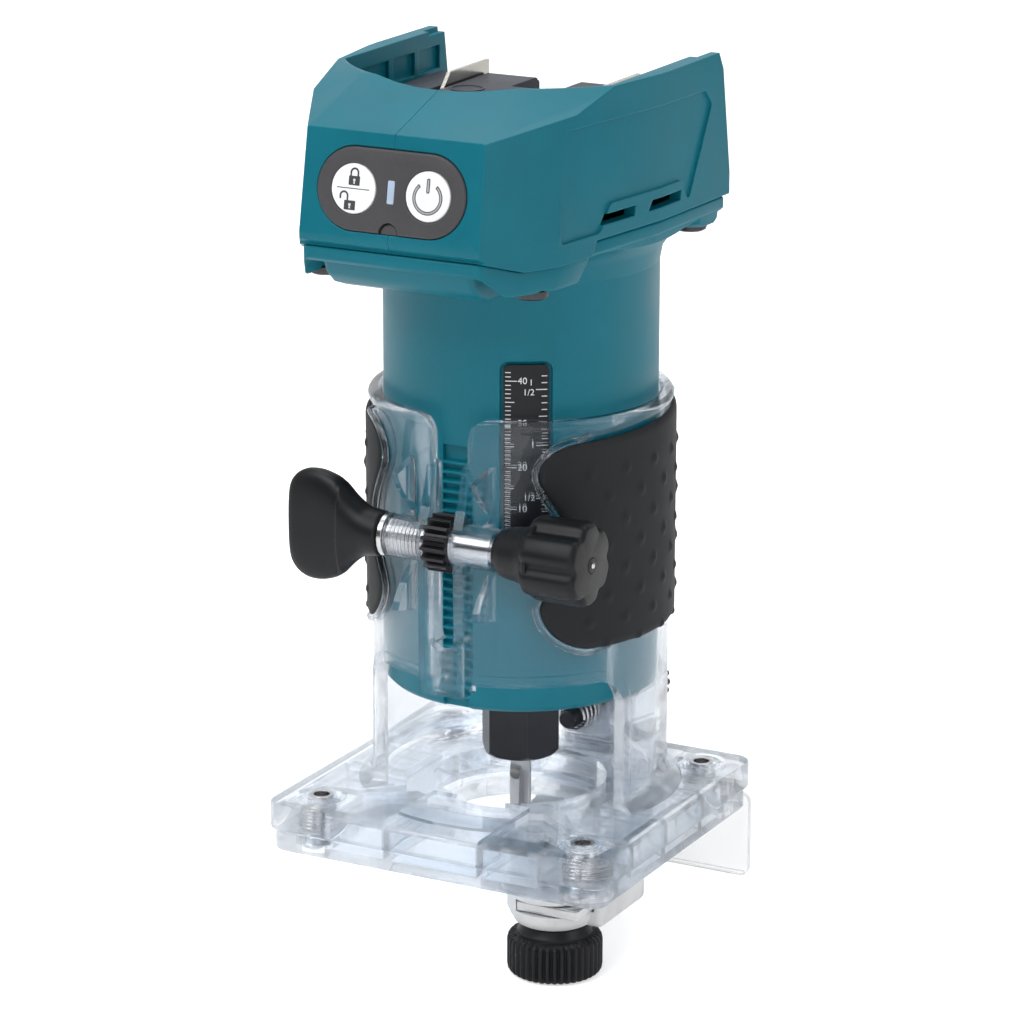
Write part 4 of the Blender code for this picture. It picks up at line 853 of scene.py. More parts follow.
def clear_base():
    """The clear base in one moulding: plate, sleeve, split ears, bosses and webs."""
    plate = base_plate()
    rings = [shift(tube(4.7, 6.1, PLATE_TOP_Z - 1.0, PLATE_TOP_Z + 2), x, y)
             for x, y in BASE_SCREWS]
    cut(plate, *rings)
    for x, y in BASE_SCREWS:
        join(plate, shift(tube(3.0, 4.3, PLATE_LOW_Z, PLATE_TOP_Z - 1.2), x, y))
    body = join(sleeve(), plate, clamp_boss())
    width = SPLIT_HALF_X + 2.4
    join(body, side_plate(ear_profile(-33.4), -width, width))
    join(body, along_x(boss_tube(), 0, SHAFT_Y, SHAFT_Z))
    for side in (-1, 1):
        for height in (-1, 1):
            join(body, sail(side, height))
    inside = turned(
        [(0, PLATE_TOP_Z + 0.4), (SLEEVE_INNER_R, PLATE_TOP_Z + 0.4),
         (SLEEVE_INNER_R, SLEEVE_RIM_Z - 0.8), (SLEEVE_INNER_R + 1.2, SLEEVE_RIM_Z + 0.4),
         (0, SLEEVE_RIM_Z + 0.4)], LARGE)
    cut(body, inside)
    cut(body, *slot_cutters())
    bore = along_x(cylinder(SHAFT_R + RUNNING, 0, 40, MEDIUM), -20, SHAFT_Y, SHAFT_Z)
    clamp_bore = along_y(cylinder(2.5 + RUNNING + 0.1, 0, 40), 0, 26, CLAMP_AXIS_Z)
    spring_bore = along_y(cylinder(4.6, 0, 12), 0, 26, CLAMP_AXIS_Z)
    cut(body, bore, clamp_bore, spring_bore)
    bevelled(body, 0.28, 2, 40)
    return piece(body, "clear_base", "base", "clear_plastic", "base")


def boss_tube():
    """The round bosses for the shaft, as one plain cylinder through both ears."""
    ends = EAR_OUTER_X
    return turned([(0, -ends), (5.0, -ends), (5.0, ends), (0, ends)])


def slot_cutters():
    """The clamp's slot: open above, rounded at its foot, and hollow behind the front bridge."""
    rim = split_cutter()
    foot = arc((0, 58.4), SPLIT_HALF_X, 180, 360, 12)
    between = upright([(-SPLIT_HALF_X, 99.0)] + foot + [(SPLIT_HALF_X, 99.0)], -60, -25)
    behind = box((-SPLIT_HALF_X, -37.4, 38.0), (SPLIT_HALF_X, -25, 56.0))
    return rim, between, behind


def clear_protector():
    body = bevelled(prism(plate_outline(1.0), 0, PROTECTOR_TOP_Z), 0.6, 3, 60)
    hollows = [prism(outline, 2.2, PROTECTOR_TOP_Z + 1) for outline in pocket_outlines()]
    cut(body, *hollows)
    holes = []
    for x, y in BASE_SCREWS:
        holes.append(shift(cylinder(2.2, -1, 8), x, y))
        holes.append(shift(turned([(0, -1), (4.6, -1), (4.6, 1.4), (2.2, 3.2), (0, 3.2)]), x, y))
    cut(body, cylinder(CUTTER_HOLE_R, -1, 8, LARGE), *holes)
    bevelled(body, 0.2, 2, 50)
    return piece(body, "clear_protector", "base", "clear_plastic", "base_protector")


def threaded(low, high, radius, pitch=0.7, depth=0.28, core=None):
    """A profile with thread ridges from low to high, closed on the axis or on a bore."""
    inner = 0 if core is None else core
    points = [(inner, low), (radius - depth, low)]
    count = int((high - low) / pitch)
    for i in range(count):
        start = low + pitch * i
        points += [(radius - depth, start + 0.1 * pitch), (radius, start + 0.45 * pitch),
                   (radius, start + 0.6 * pitch), (radius - depth, start + 0.95 * pitch)]
    return points + [(radius - depth, high), (inner, high)]


def base_fasteners():
    """The threaded bushes in the plate and the countersunk screws beneath them."""
    for index, (x, y) in enumerate(BASE_SCREWS, 1):
        bush = turned(threaded(PLATE_LOW_Z + 0.1, 10.2, 3.6, 0.75, 0.35, 1.95))
        join(bush, tube(1.95, 2.9, 9.8, PLATE_TOP_Z + 0.3))
        bevelled(bush, 0.12, 1, 50)
        piece(shift(bush, x, y), f"insert_{index}", "base", "bright_steel",
              f"base_insert_{index}")
        screw = turned([(0, 0.4), (3.7, 0.4), (4.1, 0.7), (4.1, 1.1), (1.75, 3.2)]
                       + threaded(3.4, 10.4, 1.75, 0.6, 0.2)[1:])
        recess = shift(cylinder(1.25, -1, 1.7, 6), 0, 0)
        piece(shift(cut(screw, recess), x, y), f"screw_{index}", "base", "bright_steel",
              f"base_screw_{index}")


def grip_border(side, steps=26):
    """Points round a grip's edge as (degrees, z), with the sleeve's lip outside it."""
    points = []
    for i in range(steps + 1):
        level = grip_level(i / steps)
        points.append((grip_edge(level), level))
    back = [(GRIP_END - 0.5 * (a - GRIP_START), z + 2.4 * (z - GRIP_LOW_Z)
             / (GRIP_TOP_Z - GRIP_LOW_Z)) for a, z in reversed(points)]
    return [(side * a, z) for a, z in points + back]


def grip_level(share):
    return GRIP_LOW_Z + (GRIP_TOP_Z - GRIP_LOW_Z) * (0.5 - 0.5 * cos(pi * share))


def grip_skin(side, name):
    """A rubber pad with a rolled edge and rows of small raised drops."""
    columns, rows = 150, 90
    drops = []
    for row in range(8):
        for column in range(6):
            drops.append((53.5 + 16 * column + (8 if row % 2 else 0), 96.8 - 6.0 * row))

    def place_at(u, v, height):
        level = grip_level(v)
        start = grip_edge(level)
        back = GRIP_END - 0.5 * (start - GRIP_START)
        along = 0.5 - 0.5 * cos(pi * u)
        angle = start + (back - start) * along
        z = level + 2.4 * along * (level - GRIP_LOW_Z) / (GRIP_TOP_Z - GRIP_LOW_Z)
        return angle, z, height

    def outer(u, v):
        angle, z, _ = place_at(u, v, 0)
        level = grip_level(v)
        start = grip_edge(level)
        back = GRIP_END - 0.5 * (start - GRIP_START)
        arc_mm = radians(1) * SLEEVE_OUTER_R
        inset = min((angle - start) * arc_mm, (back - angle) * arc_mm,
                    level - GRIP_LOW_Z, GRIP_TOP_Z - level)
        share = 1 - min(max(inset, 0) / 1.9, 1)
        height = 0.5 + 0.9 * sqrt(max(1 - share**2, 0))
        for centre, level_z in drops:
            if centre > back - 4:
                continue
            across = (angle - centre) * arc_mm
            up = z - level_z
            away = across**2 + (up * (0.8 if up > 0 else 1.15)) ** 2
            if away < 2.1:
                height += 0.55 * (1 - away / 2.1) ** 1.4
        x, y = polar(SLEEVE_OUTER_R + height, angle)
        return (side * x, y, z)

    def inner(u, v):
        angle, z, _ = place_at(u, v, 0)
        x, y = polar(SLEEVE_OUTER_R + 0.25, angle)
        return (side * x, y, z)

    bm, top = grid_sheet(outer, rows, columns)
    low = [[bm.verts.new(inner(j / columns, i / rows)) for j in range(columns + 1)]
           for i in range(rows + 1)]
    for a, b in zip(low, low[1:]):
        for j in range(columns):
            bm.faces.new((a[j], a[j + 1], b[j + 1], b[j]))
    border = [(i, 0) for i in range(rows)] + [(rows, j) for j in range(columns)]
    border += [(i, columns) for i in range(rows, 0, -1)] + [(0, j) for j in range(columns, 0, -1)]
    for (a, b), (c, d) in zip(border, border[1:] + border[:1]):
        bm.faces.new((low[a][b], low[c][d], top[c][d], top[a][b]))
    return piece(object_of(bm), name + "_pad", "base", "black_rubber", name, sharp=60)


def grip_lip(side, name):
    """The clear raised edge that frames a grip on the sleeve."""
    path = []
    border = grip_border(side)
    centre = (side * (GRIP_START + GRIP_END) / 2, (GRIP_LOW_Z + GRIP_TOP_Z) / 2)
    for angle, z in border:
        grow_angle = 1.9 if abs(angle) > abs(centre[0]) else -1.9
        grow_z = 0.9 if z > centre[1] else -0.9
        edge = min(abs(z - GRIP_LOW_Z), abs(GRIP_TOP_Z - z)) / 6.0
        share = min(edge, 1.0)
        spread = grow_angle * (0.35 + 0.65 * share) * side
        x, y = polar(SLEEVE_OUTER_R + 0.95, angle + spread)
        path.append((x, y, z + grow_z * (1 - share * 0.85)))
    body = swept(path, 0.75, 12, True)
    return piece(body, name, "base", "clear_plastic")


def clamp_coil():
    turns, around = 5, 24
    path = []
    for i in range(turns * around + 1):
        angle = 2 * pi * i / around
        y = 27.0 + 10.0 * i / (turns * around)
        path.append((3.6 * cos(angle), y, CLAMP_AXIS_Z + 3.6 * sin(angle)))
    return piece(swept(path, 0.4, 8), "clamp_coil", "base", "bright_steel", "clamp_spring")


# ---------------------------------------------------------------- motor body


def motor_body():
    """The teal motor housing, with its rack, scale recess, flare and corner lobes."""
    body = motor_shell()
    cut(body, corner_chin(0.15))
    join(body, cut(flange(), corner_chin(0.15)), neck())
    for side in (-1, 1):
        join(body, corner_lobe(side))
    channel = box((-SPLIT_HALF_X, -40, MOTOR_LOW_Z - 1),
                  (SPLIT_HALF_X, RACK_PITCH_Y + 1.2 * TOOTH_MODULE, RACK_TOP_Z + 0.6))
    cut(body, channel, scale_recess(1.6, 31.3, 40))
    join(body, rack())
    inside = turned(
        [(0, 44.6), (11.1, 44.6), (11.1, 52.0), (13.2, 52.0), (13.2, 47.0), (28.8, 47.0),
         (28.8, SEAM_Z + 1), (0, SEAM_Z + 1)], MEDIUM)
    nose = cylinder(9.0, MOTOR_LOW_Z - 1, 46, MEDIUM)
    holes = [shift(cylinder(2.1, 140, 160, 12), x, y) for x, y in HEAD_SCREWS]
    counterbores = [shift(cylinder(4.2, 138, lobe_low(y) + 0.7), x, y) for x, y in HEAD_SCREWS]
    cut(body, inside, nose)
    cut(body, *holes, *counterbores)
    bevelled(body, 0.35, 2, 38)
    return piece(body, "motor_body", "motor_unit", "teal_plastic", "motor_housing")


def lobe_low(y):
    """The underside of the lobe that a head screw sits in."""
    return 144.9 if y < 0 else 147.9


def neck():
    """The scooped underside of the head between the two front lobes."""
    profile = [(-60.4, 152.4), (-60.0, 150.0), (-58.6, 146.8), (-55.6, 144.2), (-51.0, 142.6),
               (-30.0, 141.6), (-30.0, 152.4)]
    return bevelled(side_plate(profile, -19.0, 19.0), 1.2, 3, 50)


def corner_lobe(side):
    """A front corner of the flange, deep enough to take the screw from below."""
    block = bevelled(prism(flange_outline(), 144.9, 153.0), 0.9, 3, 50)
    face = [(side * 18.0, 153.5), (side * 20.4, 151.3), (side * 22.6, 149.8), (side * 24.4, 147.0),
            (side * 26.0, 144.0), (side * 60, 144.0), (side * 60, 153.5)]
    flank = [(-70, 140), (-38.0, 140), (-35.4, 145.4), (-31.6, 149.6), (-30.6, 153.5), (-70, 153.5)]
    keep(block, upright(face, -80, -20))
    keep(block, side_plate(flank, -60, 60))
    return cut(block, corner_chin(0.15))


def scale_recess(grow, inner, outer):
    """The scale's outline with rounded top corners, as a bent block."""
    start, end = (radians(a) * MOTOR_R for a in SCALE_ANGLES)
    grow_mm = radians(grow) * MOTOR_R
    outline = rounded_rectangle((start - grow_mm, SCALE_LOW_Z - grow_mm),
                                (end + grow_mm, SCALE_TOP_Z + grow_mm), 1.3 + grow_mm, 6)
    flat = prism([(x - (start + end) / 2, z) for x, z in outline], 0.0, outer - inner)
    bm = bmesh.new()
    bm.from_mesh(flat.data)
    for i in range(-7, 8):
        bmesh.ops.bisect_plane(bm, geom=bm.verts[:] + bm.edges[:] + bm.faces[:],
                               plane_co=(i * 0.9, 0, 0), plane_no=(1, 0, 0), dist=1e-4)
    bmesh.ops.triangulate(bm, faces=bm.faces)
    middle = radians(sum(SCALE_ANGLES) / 2)
    for vert in bm.verts:
        angle = vert.co.x / MOTOR_R + middle
        radius = inner + vert.co.z
        vert.co = (radius * sin(angle), -radius * cos(angle), vert.co.y)
    bpy.data.objects.remove(flat, do_unlink=True)
    return object_of(bm)


def label(text, size, degrees, z, align="LEFT"):
    """A printed number bent round the scale."""
    data = bpy.data.curves.new(text, "FONT")
    data.body = text
    data.size = size
    data.align_x = align
    data.align_y = "CENTER"
    holder = bpy.data.objects.new(text, data)
    bpy.context.scene.collection.objects.link(holder)
    bpy.context.view_layer.update()
    graph = bpy.context.evaluated_depsgraph_get()
    mesh = bpy.data.meshes.new_from_object(holder.evaluated_get(graph))
    bpy.data.objects.remove(holder, do_unlink=True)
    bm = bmesh.new()
    bm.from_mesh(mesh)
    bmesh.ops.triangulate(bm, faces=bm.faces)
    for vert in bm.verts:
        angle = radians(degrees) + vert.co.x / SCALE_FACE_R
        vert.co = (SCALE_FACE_R * sin(angle), -SCALE_FACE_R * cos(angle), z + vert.co.y)
    return bm


SCALE_FACE_R = 32.225
SCALE_ZERO_Z = 78.8


def tick(bm, start, length, z, thick):
    """One line of the scale, from an angle at its edge, along the surface."""
    count = 4
    rows = []
    for level in (z - thick / 2, z + thick / 2):
        row = []
        for i in range(count + 1):
            angle = radians(start) + length * i / count / SCALE_FACE_R
            row.append(bm.verts.new((SCALE_FACE_R * sin(angle), -SCALE_FACE_R * cos(angle), level)))
        rows.append(row)
    for i in range(count):
        bm.faces.new((rows[0][i], rows[0][i + 1], rows[1][i + 1], rows[1][i]))


def scale_marks():
    """Millimetres on the left edge, sixteenths of an inch on the right."""
    bm = bmesh.new()
    left, right = SCALE_ANGLES[0] + 0.6, SCALE_ANGLES[1] - 0.6
    for mm in range(-4, 43):
        length = 2.7 if mm % 10 == 0 else 2.1 if mm % 5 == 0 else 1.3
        tick(bm, left, length, SCALE_ZERO_Z + mm, 0.2)
    for step in range(-2, 27):
        length = 2.6 if step % 8 == 0 else 1.9 if step % 4 == 0 else 1.3
        tick(bm, right, -length, SCALE_ZERO_Z - 0.1 + 25.4 * step / 16, 0.2)
    mesh = bpy.data.meshes.new("marks")
    labels = [(str(n), 2.2, left + 5.1, SCALE_ZERO_Z + n, "LEFT") for n in (10, 20, 30, 40)]
    labels += [("1/2", 2.1, right - 5.0, SCALE_ZERO_Z + 12.7, "RIGHT"),
               ("1", 2.2, right - 5.0, SCALE_ZERO_Z + 25.4, "RIGHT"),
               ("1", 2.1, right - 6.6, SCALE_ZERO_Z + 39.6, "CENTER"),
               ("1/2", 2.1, right - 5.2, SCALE_ZERO_Z + 37.3, "RIGHT")]
    for text, size, degrees, z, align in labels:
        part = label(text, size, degrees, z, align)
        part.to_mesh(mesh)
        part.free()
        bm.from_mesh(mesh)
    body = object_of(bm)
    grown = bmesh.new()
    grown.from_mesh(body.data)
    for face in grown.faces:
        if face.normal.dot(face.calc_center_median() * Vector((1, 1, 0))) < 0:
            face.normal_flip()
    grown.to_mesh(body.data)
    grown.free()
    thick = body.modifiers.new("ink", "SOLIDIFY")
    thick.thickness = 0.02
    thick.offset = 0.0
    bake(body)
    return piece(body, "scale_marks", "motor_unit", "white_ink", slot="button_white")


def scale():
    body = scale_recess(0.0, 31.6, 32.2)
    return piece(body, "scale_face", "motor_unit", "scale_black", "scale_plate")


def scale_pointer():
    """The small dart moulded on the sleeve that points at the scale's reading."""
    outline = [(-1.9, -0.75), (0.0, -0.1), (0.0, 0.1), (-1.9, 0.75)]
    bm = bmesh.new()
    rings = []
    for radius in (SLEEVE_OUTER_R + 0.02, SLEEVE_OUTER_R + 0.35):
        ring = []
        for x, z in outline:
            angle = radians(SCALE_ANGLES[0] + 3.2) + x / SLEEVE_OUTER_R
            ring.append(bm.verts.new((radius * sin(angle), -radius * cos(angle),
                                      SCALE_ZERO_Z + 20 + z)))
        rings.append(ring)
    for k in range(4):
        bm.faces.new((rings[0][k - 1], rings[0][k], rings[1][k], rings[1][k - 1]))
    bm.faces.new(rings[0])
    bm.faces.new(rings[1])
    return piece(object_of(bm), "scale_pointer", "base", "grey_ink", slot="scale_black")


# ---------------------------------------------------------------- adjuster and clamp


def adjust_knob():
    """The depth knob: a bell neck and a fluted body with a rounded, stepped end."""
    neck = turned(
        [(2.6, 0), (4.6, 0), (5.2, 0.7), (6.1, 3.0), (6.5, 6.0), (7.1, 8.0), (8.4, 9.4),
         (9.2, 10.4), (9.2, 11.2), (2.6, 11.2)], MEDIUM)
    outline = []
    for i in range(216):
        angle = 2 * pi * i / 216
        r = 9.9 - 1.5 * (0.5 - 0.5 * cos(6 * angle)) ** 3
        outline.append((r * cos(angle), r * sin(angle)))
    rim = [(0.90, 9.2), (0.955, 9.6), (0.985, 10.1), (1.0, 10.9), (1.0, 21.4), (0.985, 22.4),
           (0.955, 23.1), (0.91, 23.5), (0.86, 23.6)]
    body = join(lofted(outline, rim), neck)
    cut(body, cylinder(3.3, -1, 1.5, 24), cylinder(2.6, -1, 16.0, 24), cylinder(1.9, 10, 30, 24))
    along_x(body, 14.4, SHAFT_Y, SHAFT_Z)
    return piece(body, "depth_knob", "adjuster", "black_plastic", "adjust_knob", sharp=28)


def wing_knob():
    """The wing nut: a round neck that opens into an upright paddle with a soft edge."""
    stations = [  # distance out, half height, half thickness, squareness
        (0.0, 4.6, 4.6, 2.0), (0.5, 5.3, 5.3, 2.0), (2.0, 5.5, 5.4, 2.0), (5.0, 6.0, 5.1, 2.2),
        (8.0, 8.0, 4.9, 2.4), (10.6, 10.6, 4.7, 2.6), (11.2, 11.2, 4.2, 2.7),
        (13.0, 12.3, 3.9, 2.8), (16.5, 13.3, 3.5, 2.9), (20.0, 13.3, 3.1, 2.9),
        (22.6, 12.3, 2.8, 2.8), (24.2, 10.8, 2.5, 2.7), (25.0, 9.4, 2.0, 2.6),
        (25.2, 8.6, 1.3, 2.4)]
    around = 72
    bm = bmesh.new()
    rings = []
    for out, tall, thick, power in smooth_stations(stations, 5):
        ring = []
        for i in range(around):
            c, s = cos(2 * pi * i / around), sin(2 * pi * i / around)
            y = thick * (abs(c) ** (2 / power)) * (1 if c >= 0 else -1)
            z = tall * (abs(s) ** (2 / power)) * (1 if s >= 0 else -1)
            ring.append(bm.verts.new((-EAR_OUTER_X - 1.9 - out, SHAFT_Y + y, SHAFT_Z + z)))
        rings.append(ring)
    for a, b in zip(rings, rings[1:]):
        for i in range(around):
            bm.faces.new((a[i - 1], a[i], b[i], b[i - 1]))
    bm.faces.new(rings[0])
    bm.faces.new(rings[-1])
    body = object_of(bm)
    cut(body, along_x(cylinder(3.0, 0, 17, 32), -EAR_OUTER_X - 17.8, SHAFT_Y, SHAFT_Z))
    return piece(body, "wing_knob", "clamp_wing", "black_plastic", "clamp_wing_knob", sharp=28)


def shaft():
    """The adjusting shaft, threaded at its left end, grooved beside the left boss and stepped down
    at the right.
    """
    profile = [(0, -31.0)] + threaded(-31.0, -15.4, 2.9, 0.8, 0.25)[1:-1]
    profile += [(SHAFT_R, -15.4), (SHAFT_R, -9.0)]
    for groove in (-8.6, -7.4, -6.2):
        profile += [(SHAFT_R, groove), (2.6, groove + 0.15), (2.6, groove + 0.5),
                    (SHAFT_R, groove + 0.65)]
    profile += [(SHAFT_R, 14.6), (2.4, 15.2), (2.4, 30.0), (0, 30.0)]
    body = along_x(turned(profile, 40), 0, SHAFT_Y, SHAFT_Z)
    return piece(body, "shaft", "adjuster", "turned_steel", "adjust_shaft", slot="bright_steel")


def boss_bush():
    """The bright bush and its ring that show through the left boss."""
    profile = threaded(5.0, 13.4, 4.3, 1.0, 0.35, SHAFT_R + 0.1)
    body = along_x(turned(profile, 40), 0, SHAFT_Y, SHAFT_Z)
    moved(body, Matrix.Scale(-1, 4, (1, 0, 0)))
    return piece(body, "boss_bush", "base", "turned_steel", slot="bright_steel")


def knob_end_screw():
    body = turned([(0, 16.0), (1.85, 16.0), (1.85, 23.5), (1.7, 23.7), (0, 23.75)], 32)
    along_x(body, 14.4, SHAFT_Y, SHAFT_Z)
    piece(body, "knob_end_screw", "adjuster", "black_plastic", "knob_screw")
    pin = turned([(0, 22.6), (0.7, 22.6), (0.7, 24.0), (0.45, 24.2), (0, 24.25)], 24)
    along_x(pin, 14.4, SHAFT_Y, SHAFT_Z)
    return piece(pin, "knob_pin", "adjuster", "bright_steel")


# ---------------------------------------------------------------- head


def head_form():
    """The head's outer form, with its corners well rounded."""
    block = join(prism(mirrored(head_half_outline()), SEAM_Z + 0.12, RAIL_TOP_Z),
                 corner_chin(0.0))
    lean = (PANEL_HIGH.y - PANEL_LOW.y) / (PANEL_HIGH.z - PANEL_LOW.z)
    top_y = PANEL_HIGH.y + lean * 20
    front = below_plane([(PANEL_LOW.y + 1.9, 140.0), (PANEL_LOW.y + 1.9, SEAM_Z),
                         (PANEL_LOW.y + 0.4, 155.0), (PANEL_LOW.y, 156.6),
                         (top_y, 198.0), (-90, 198.0), (-90, 140.0)])
    fall = (BAY_RIM_Z - RIDGE_Z) / (BAY_RIM_Y - RIDGE_Y)
    slope = below_plane([(RIDGE_Y - 20, RIDGE_Z - 20 * fall), (-36.0, BAY_RIM_Z + 4 * fall),
                         (-36.0, 210), (RIDGE_Y - 20, 210)])
    rear = below_plane([(30.2, SEAM_Z - 1), (30.2, 158), (25.2, 190), (60, 190),
                        (60, SEAM_Z - 1)])
    cut(block, front, slope, rear)
    for side in (-1, 1):
        cut(block, upright([(side * 40.4, RIDGE_Z - 0.8), (side * 38.0, 190),
                            (side * 60, 190), (side * 60, RIDGE_Z - 0.8)], -80, 60))
        cut(block, shoulder(side), *corner_leans(side))
    return bevelled(block, 1.3, 4, 14)


def corner_chin(more):
    """The head's lower edge, which dips at the front corners."""
    block = prism(mirrored(head_half_outline()), 140.0, SEAM_Z + 3.0)
    profile = [(-64.5, SEAM_Z + 0.5 - more), (-52.6, 150.6 - more), (-31.4 + more, 150.6 - more),
               (-29.4 + more, SEAM_Z + 0.5), (-29.4, 158.0), (-64.5, 158.0)]
    keep(block, side_plate(profile, -60, 60))
    cut(block, prism(mirrored(head_half_outline(2.6 + more, -59.6, 27.0)), 139.0, 160.0))
    return block


def shoulder(side):
    """The slope's outer part, which also falls away sideways beyond the panel."""
    fall = (BAY_RIM_Z - RIDGE_Z) / (BAY_RIM_Y - RIDGE_Y)

    def top(x, y):
        return RIDGE_Z + fall * (y - RIDGE_Y) - 0.32 * (x - 21.8)

    corners = [(21.8, -75.0), (60.0, -75.0), (60.0, 0.0), (21.8, 0.0)]
    low = [(side * x, y, top(x, y)) for x, y in corners]
    high = [(side * x, y, 230.0) for x, y in corners]
    return solid_between(low, high)


def side_recess(side):
    """A shallow field sunk in the side, its floor parallel with the wall."""
    outline = [(-43.5, 180.6), (17.0, 180.6), (20.6, 177.0), (9.5, 156.4), (7.6, 157.6),
               (6.2, 161.6), (-24.4, 161.6), (-28.2, 155.4), (-43.5, 155.4)]
    low, high = sorted((side * 25.0, side * 50.0))
    field = bevelled(side_plate(outline, low, high), 1.2, 3, 30)
    kept = prism(mirrored(head_half_outline(0.65)), 100, 200)
    return cut(field, kept)


def front_recess():
    """The sunk rim round the switch panel, widening outwards."""
    bm = bmesh.new()
    rings = []
    for grow, level in ((0.16, -9.0), (0.16, -0.35), (0.5, -0.1), (0.9, 0.5), (2.4, 3.0)):
        rings.append([bm.verts.new((x, y, level)) for x, y in
                      stadium(BEZEL_HALF[0] + grow, BEZEL_HALF[1] + grow, 28)])
    for a, b in zip(rings, rings[1:]):
        for i in range(len(a)):
            bm.faces.new((a[i - 1], a[i], b[i], b[i - 1]))
    bm.faces.new(rings[0])
    bm.faces.new(rings[-1])
    return moved(object_of(bm), panel_frame())


def head_halves():
    block = head_form()
    cut(block, bay_cutter())
    cut(block, head_cavity())
    cut(block, front_recess())
    details = []
    for side in (-1, 1):
        details += side_slots(side) + rail_pockets(side)
        cut(block, side_recess(side))
        details.append(upright([(side * 32.6, 186.9), (side * 36.2, 186.9), (side * 36.2, 190),
                                (side * 32.6, 190)], 18.0, 40.0))
    cut(block, *details)
    for x, y in HEAD_SCREWS:
        post = shift(cylinder(4.4, HEAD_LOW_Z + 0.4, 169.6 if y > 0 else 166.5), x, y)
        cut(post, shift(cylinder(1.7, HEAD_LOW_Z - 5, 163.0), x, y))
        join(block, keep(post, prism(mirrored(head_half_outline(1.0, -66.0, 28.6)), 100, 200)))
    for side, name in ((-1, "head_left"), (1, "head_right")):
        half = block.copy()
        half.data = block.data.copy()
        bpy.context.scene.collection.objects.link(half)
        low, high = sorted((side * 0.05, side * 90))
        keep(half, box((low, -90, 100), (high, 90, 220)))
        piece(half, name, "motor_unit", "teal_plastic",
              "head_shell_left" if side < 0 else "head_shell_right")
    bpy.data.objects.remove(block, do_unlink=True)


def rail_pockets(side):
    """Three recesses along the inner face of a battery rail."""
    shapes = []
    for start, end in ((-18.0, -1.5), (0.5, 11.0), (13.0, 23.2)):
        low, high = sorted((side * (BAY_HALF_X - 1), side * (BAY_HALF_X + 1.1)))
        shapes.append(box((low, start, 178.6), (high, end, 184.2)))
    return shapes


def side_slots(side):
    """The two cooling slots under the sunk field, with slanted front ends."""
    shapes = []
    for start, end in ((-27.5, -14.8), (-9.3, 5.2)):
        outline = [(start, 157.0), (end, 157.0), (end + 0.5, 159.4), (start + 1.6, 159.4)]
        low, high = sorted((side * 30.0, side * 45.0))
        shapes.append(side_plate(outline, low, high))
    return shapes


def lobe_screws():
    """The dark screws up through the corner lobes, with hexagon sockets."""
    for index, (x, y) in enumerate(HEAD_SCREWS, 1):
        low = lobe_low(y) - 1.7
        head = turned([(0, low), (3.0, low), (3.7, low + 0.4), (3.9, low + 1.1),
                       (3.9, low + 2.0), (3.2, low + 2.3), (1.5, low + 2.4)]
                      + threaded(149.0, 162.0, 1.6, 0.8, 0.2)[1:], 32)
        cut(head, cylinder(1.6, 130, low + 1.3, 6))
        piece(shift(head, x, y), f"lobe_screw_{index}", "motor_unit", "dark_steel",
              f"head_screw_{index}")


# ---------------------------------------------------------------- switch panel


def bezel():
    body = bevelled(prism(stadium(*BEZEL_HALF, 28), -3.2, 0.25), 0.5, 3, 60)
    notch = shift(cylinder(2.5, -8, 4, 40), 0, -BEZEL_HALF[1] + 0.1)
    holes = [shift(turned([(0, -8), (BUTTON_R + 0.12, -8), (BUTTON_R + 0.12, 0.0),
                           (BUTTON_R + 0.4, 0.3), (BUTTON_R + 0.4, 4), (0, 4)], LARGE), x, 0)
             for x in (-BUTTON_X, BUTTON_X)]
    window = prism(rounded_rectangle((-0.98, -2.72), (0.98, 2.72), 0.4, 4), -8, 4)
    cut(body, notch, window, *holes)
    moved(body, panel_frame())
    piece(body, "bezel", "motor_unit", "panel_grey", "switch_bezel")
    plug = shift(turned([(0, -3.0), (2.3, -3.0), (2.3, -0.7), (1.9, -0.35), (0, -0.3)], 40),
                 0, -BEZEL_HALF[1] + 0.1)
    keep(plug, prism(stadium(*BEZEL_HALF, 28), -4, 2))
    moved(plug, panel_frame())
    piece(plug, "bezel_plug", "motor_unit", "panel_grey")


def button(name, x, body_name):
    body = turned([(0, -4.4), (1.8, -4.4), (1.8, -2.4), (BUTTON_R, -2.4), (BUTTON_R, 0.0),
                   (BUTTON_R - 0.1, 0.22), (BUTTON_R - 0.35, 0.34), (3.0, 0.4), (0, 0.4)], LARGE)
    moved(body, panel_frame() @ Matrix.Translation((x, 0, 0)))
    return piece(body, name, body_name, "button_white", body_name, sharp=50)


def printed_on(outlines, name, body_name, x, ink="grey_ink", slot="scale_black"):
    """Flat printed shapes on a button, a hair proud of it."""
    bodies = [prism(outline, 0.395, 0.425) for outline in outlines]
    whole = bodies[0]
    if len(bodies) > 1:
        bm = bmesh.new()
        for body in bodies:
            bm.from_mesh(body.data)
            bpy.data.objects.remove(body, do_unlink=True)
        whole = object_of(bm)
    moved(whole, panel_frame() @ Matrix.Translation((x, 0, 0)))
    return piece(whole, name, body_name, ink, slot=slot)


def band(centre, inner, outer, start, end, steps=40):
    """A ring segment between two angles, as one outline."""
    return arc(centre, outer, start, end, steps) + arc(centre, inner, end, start, steps)


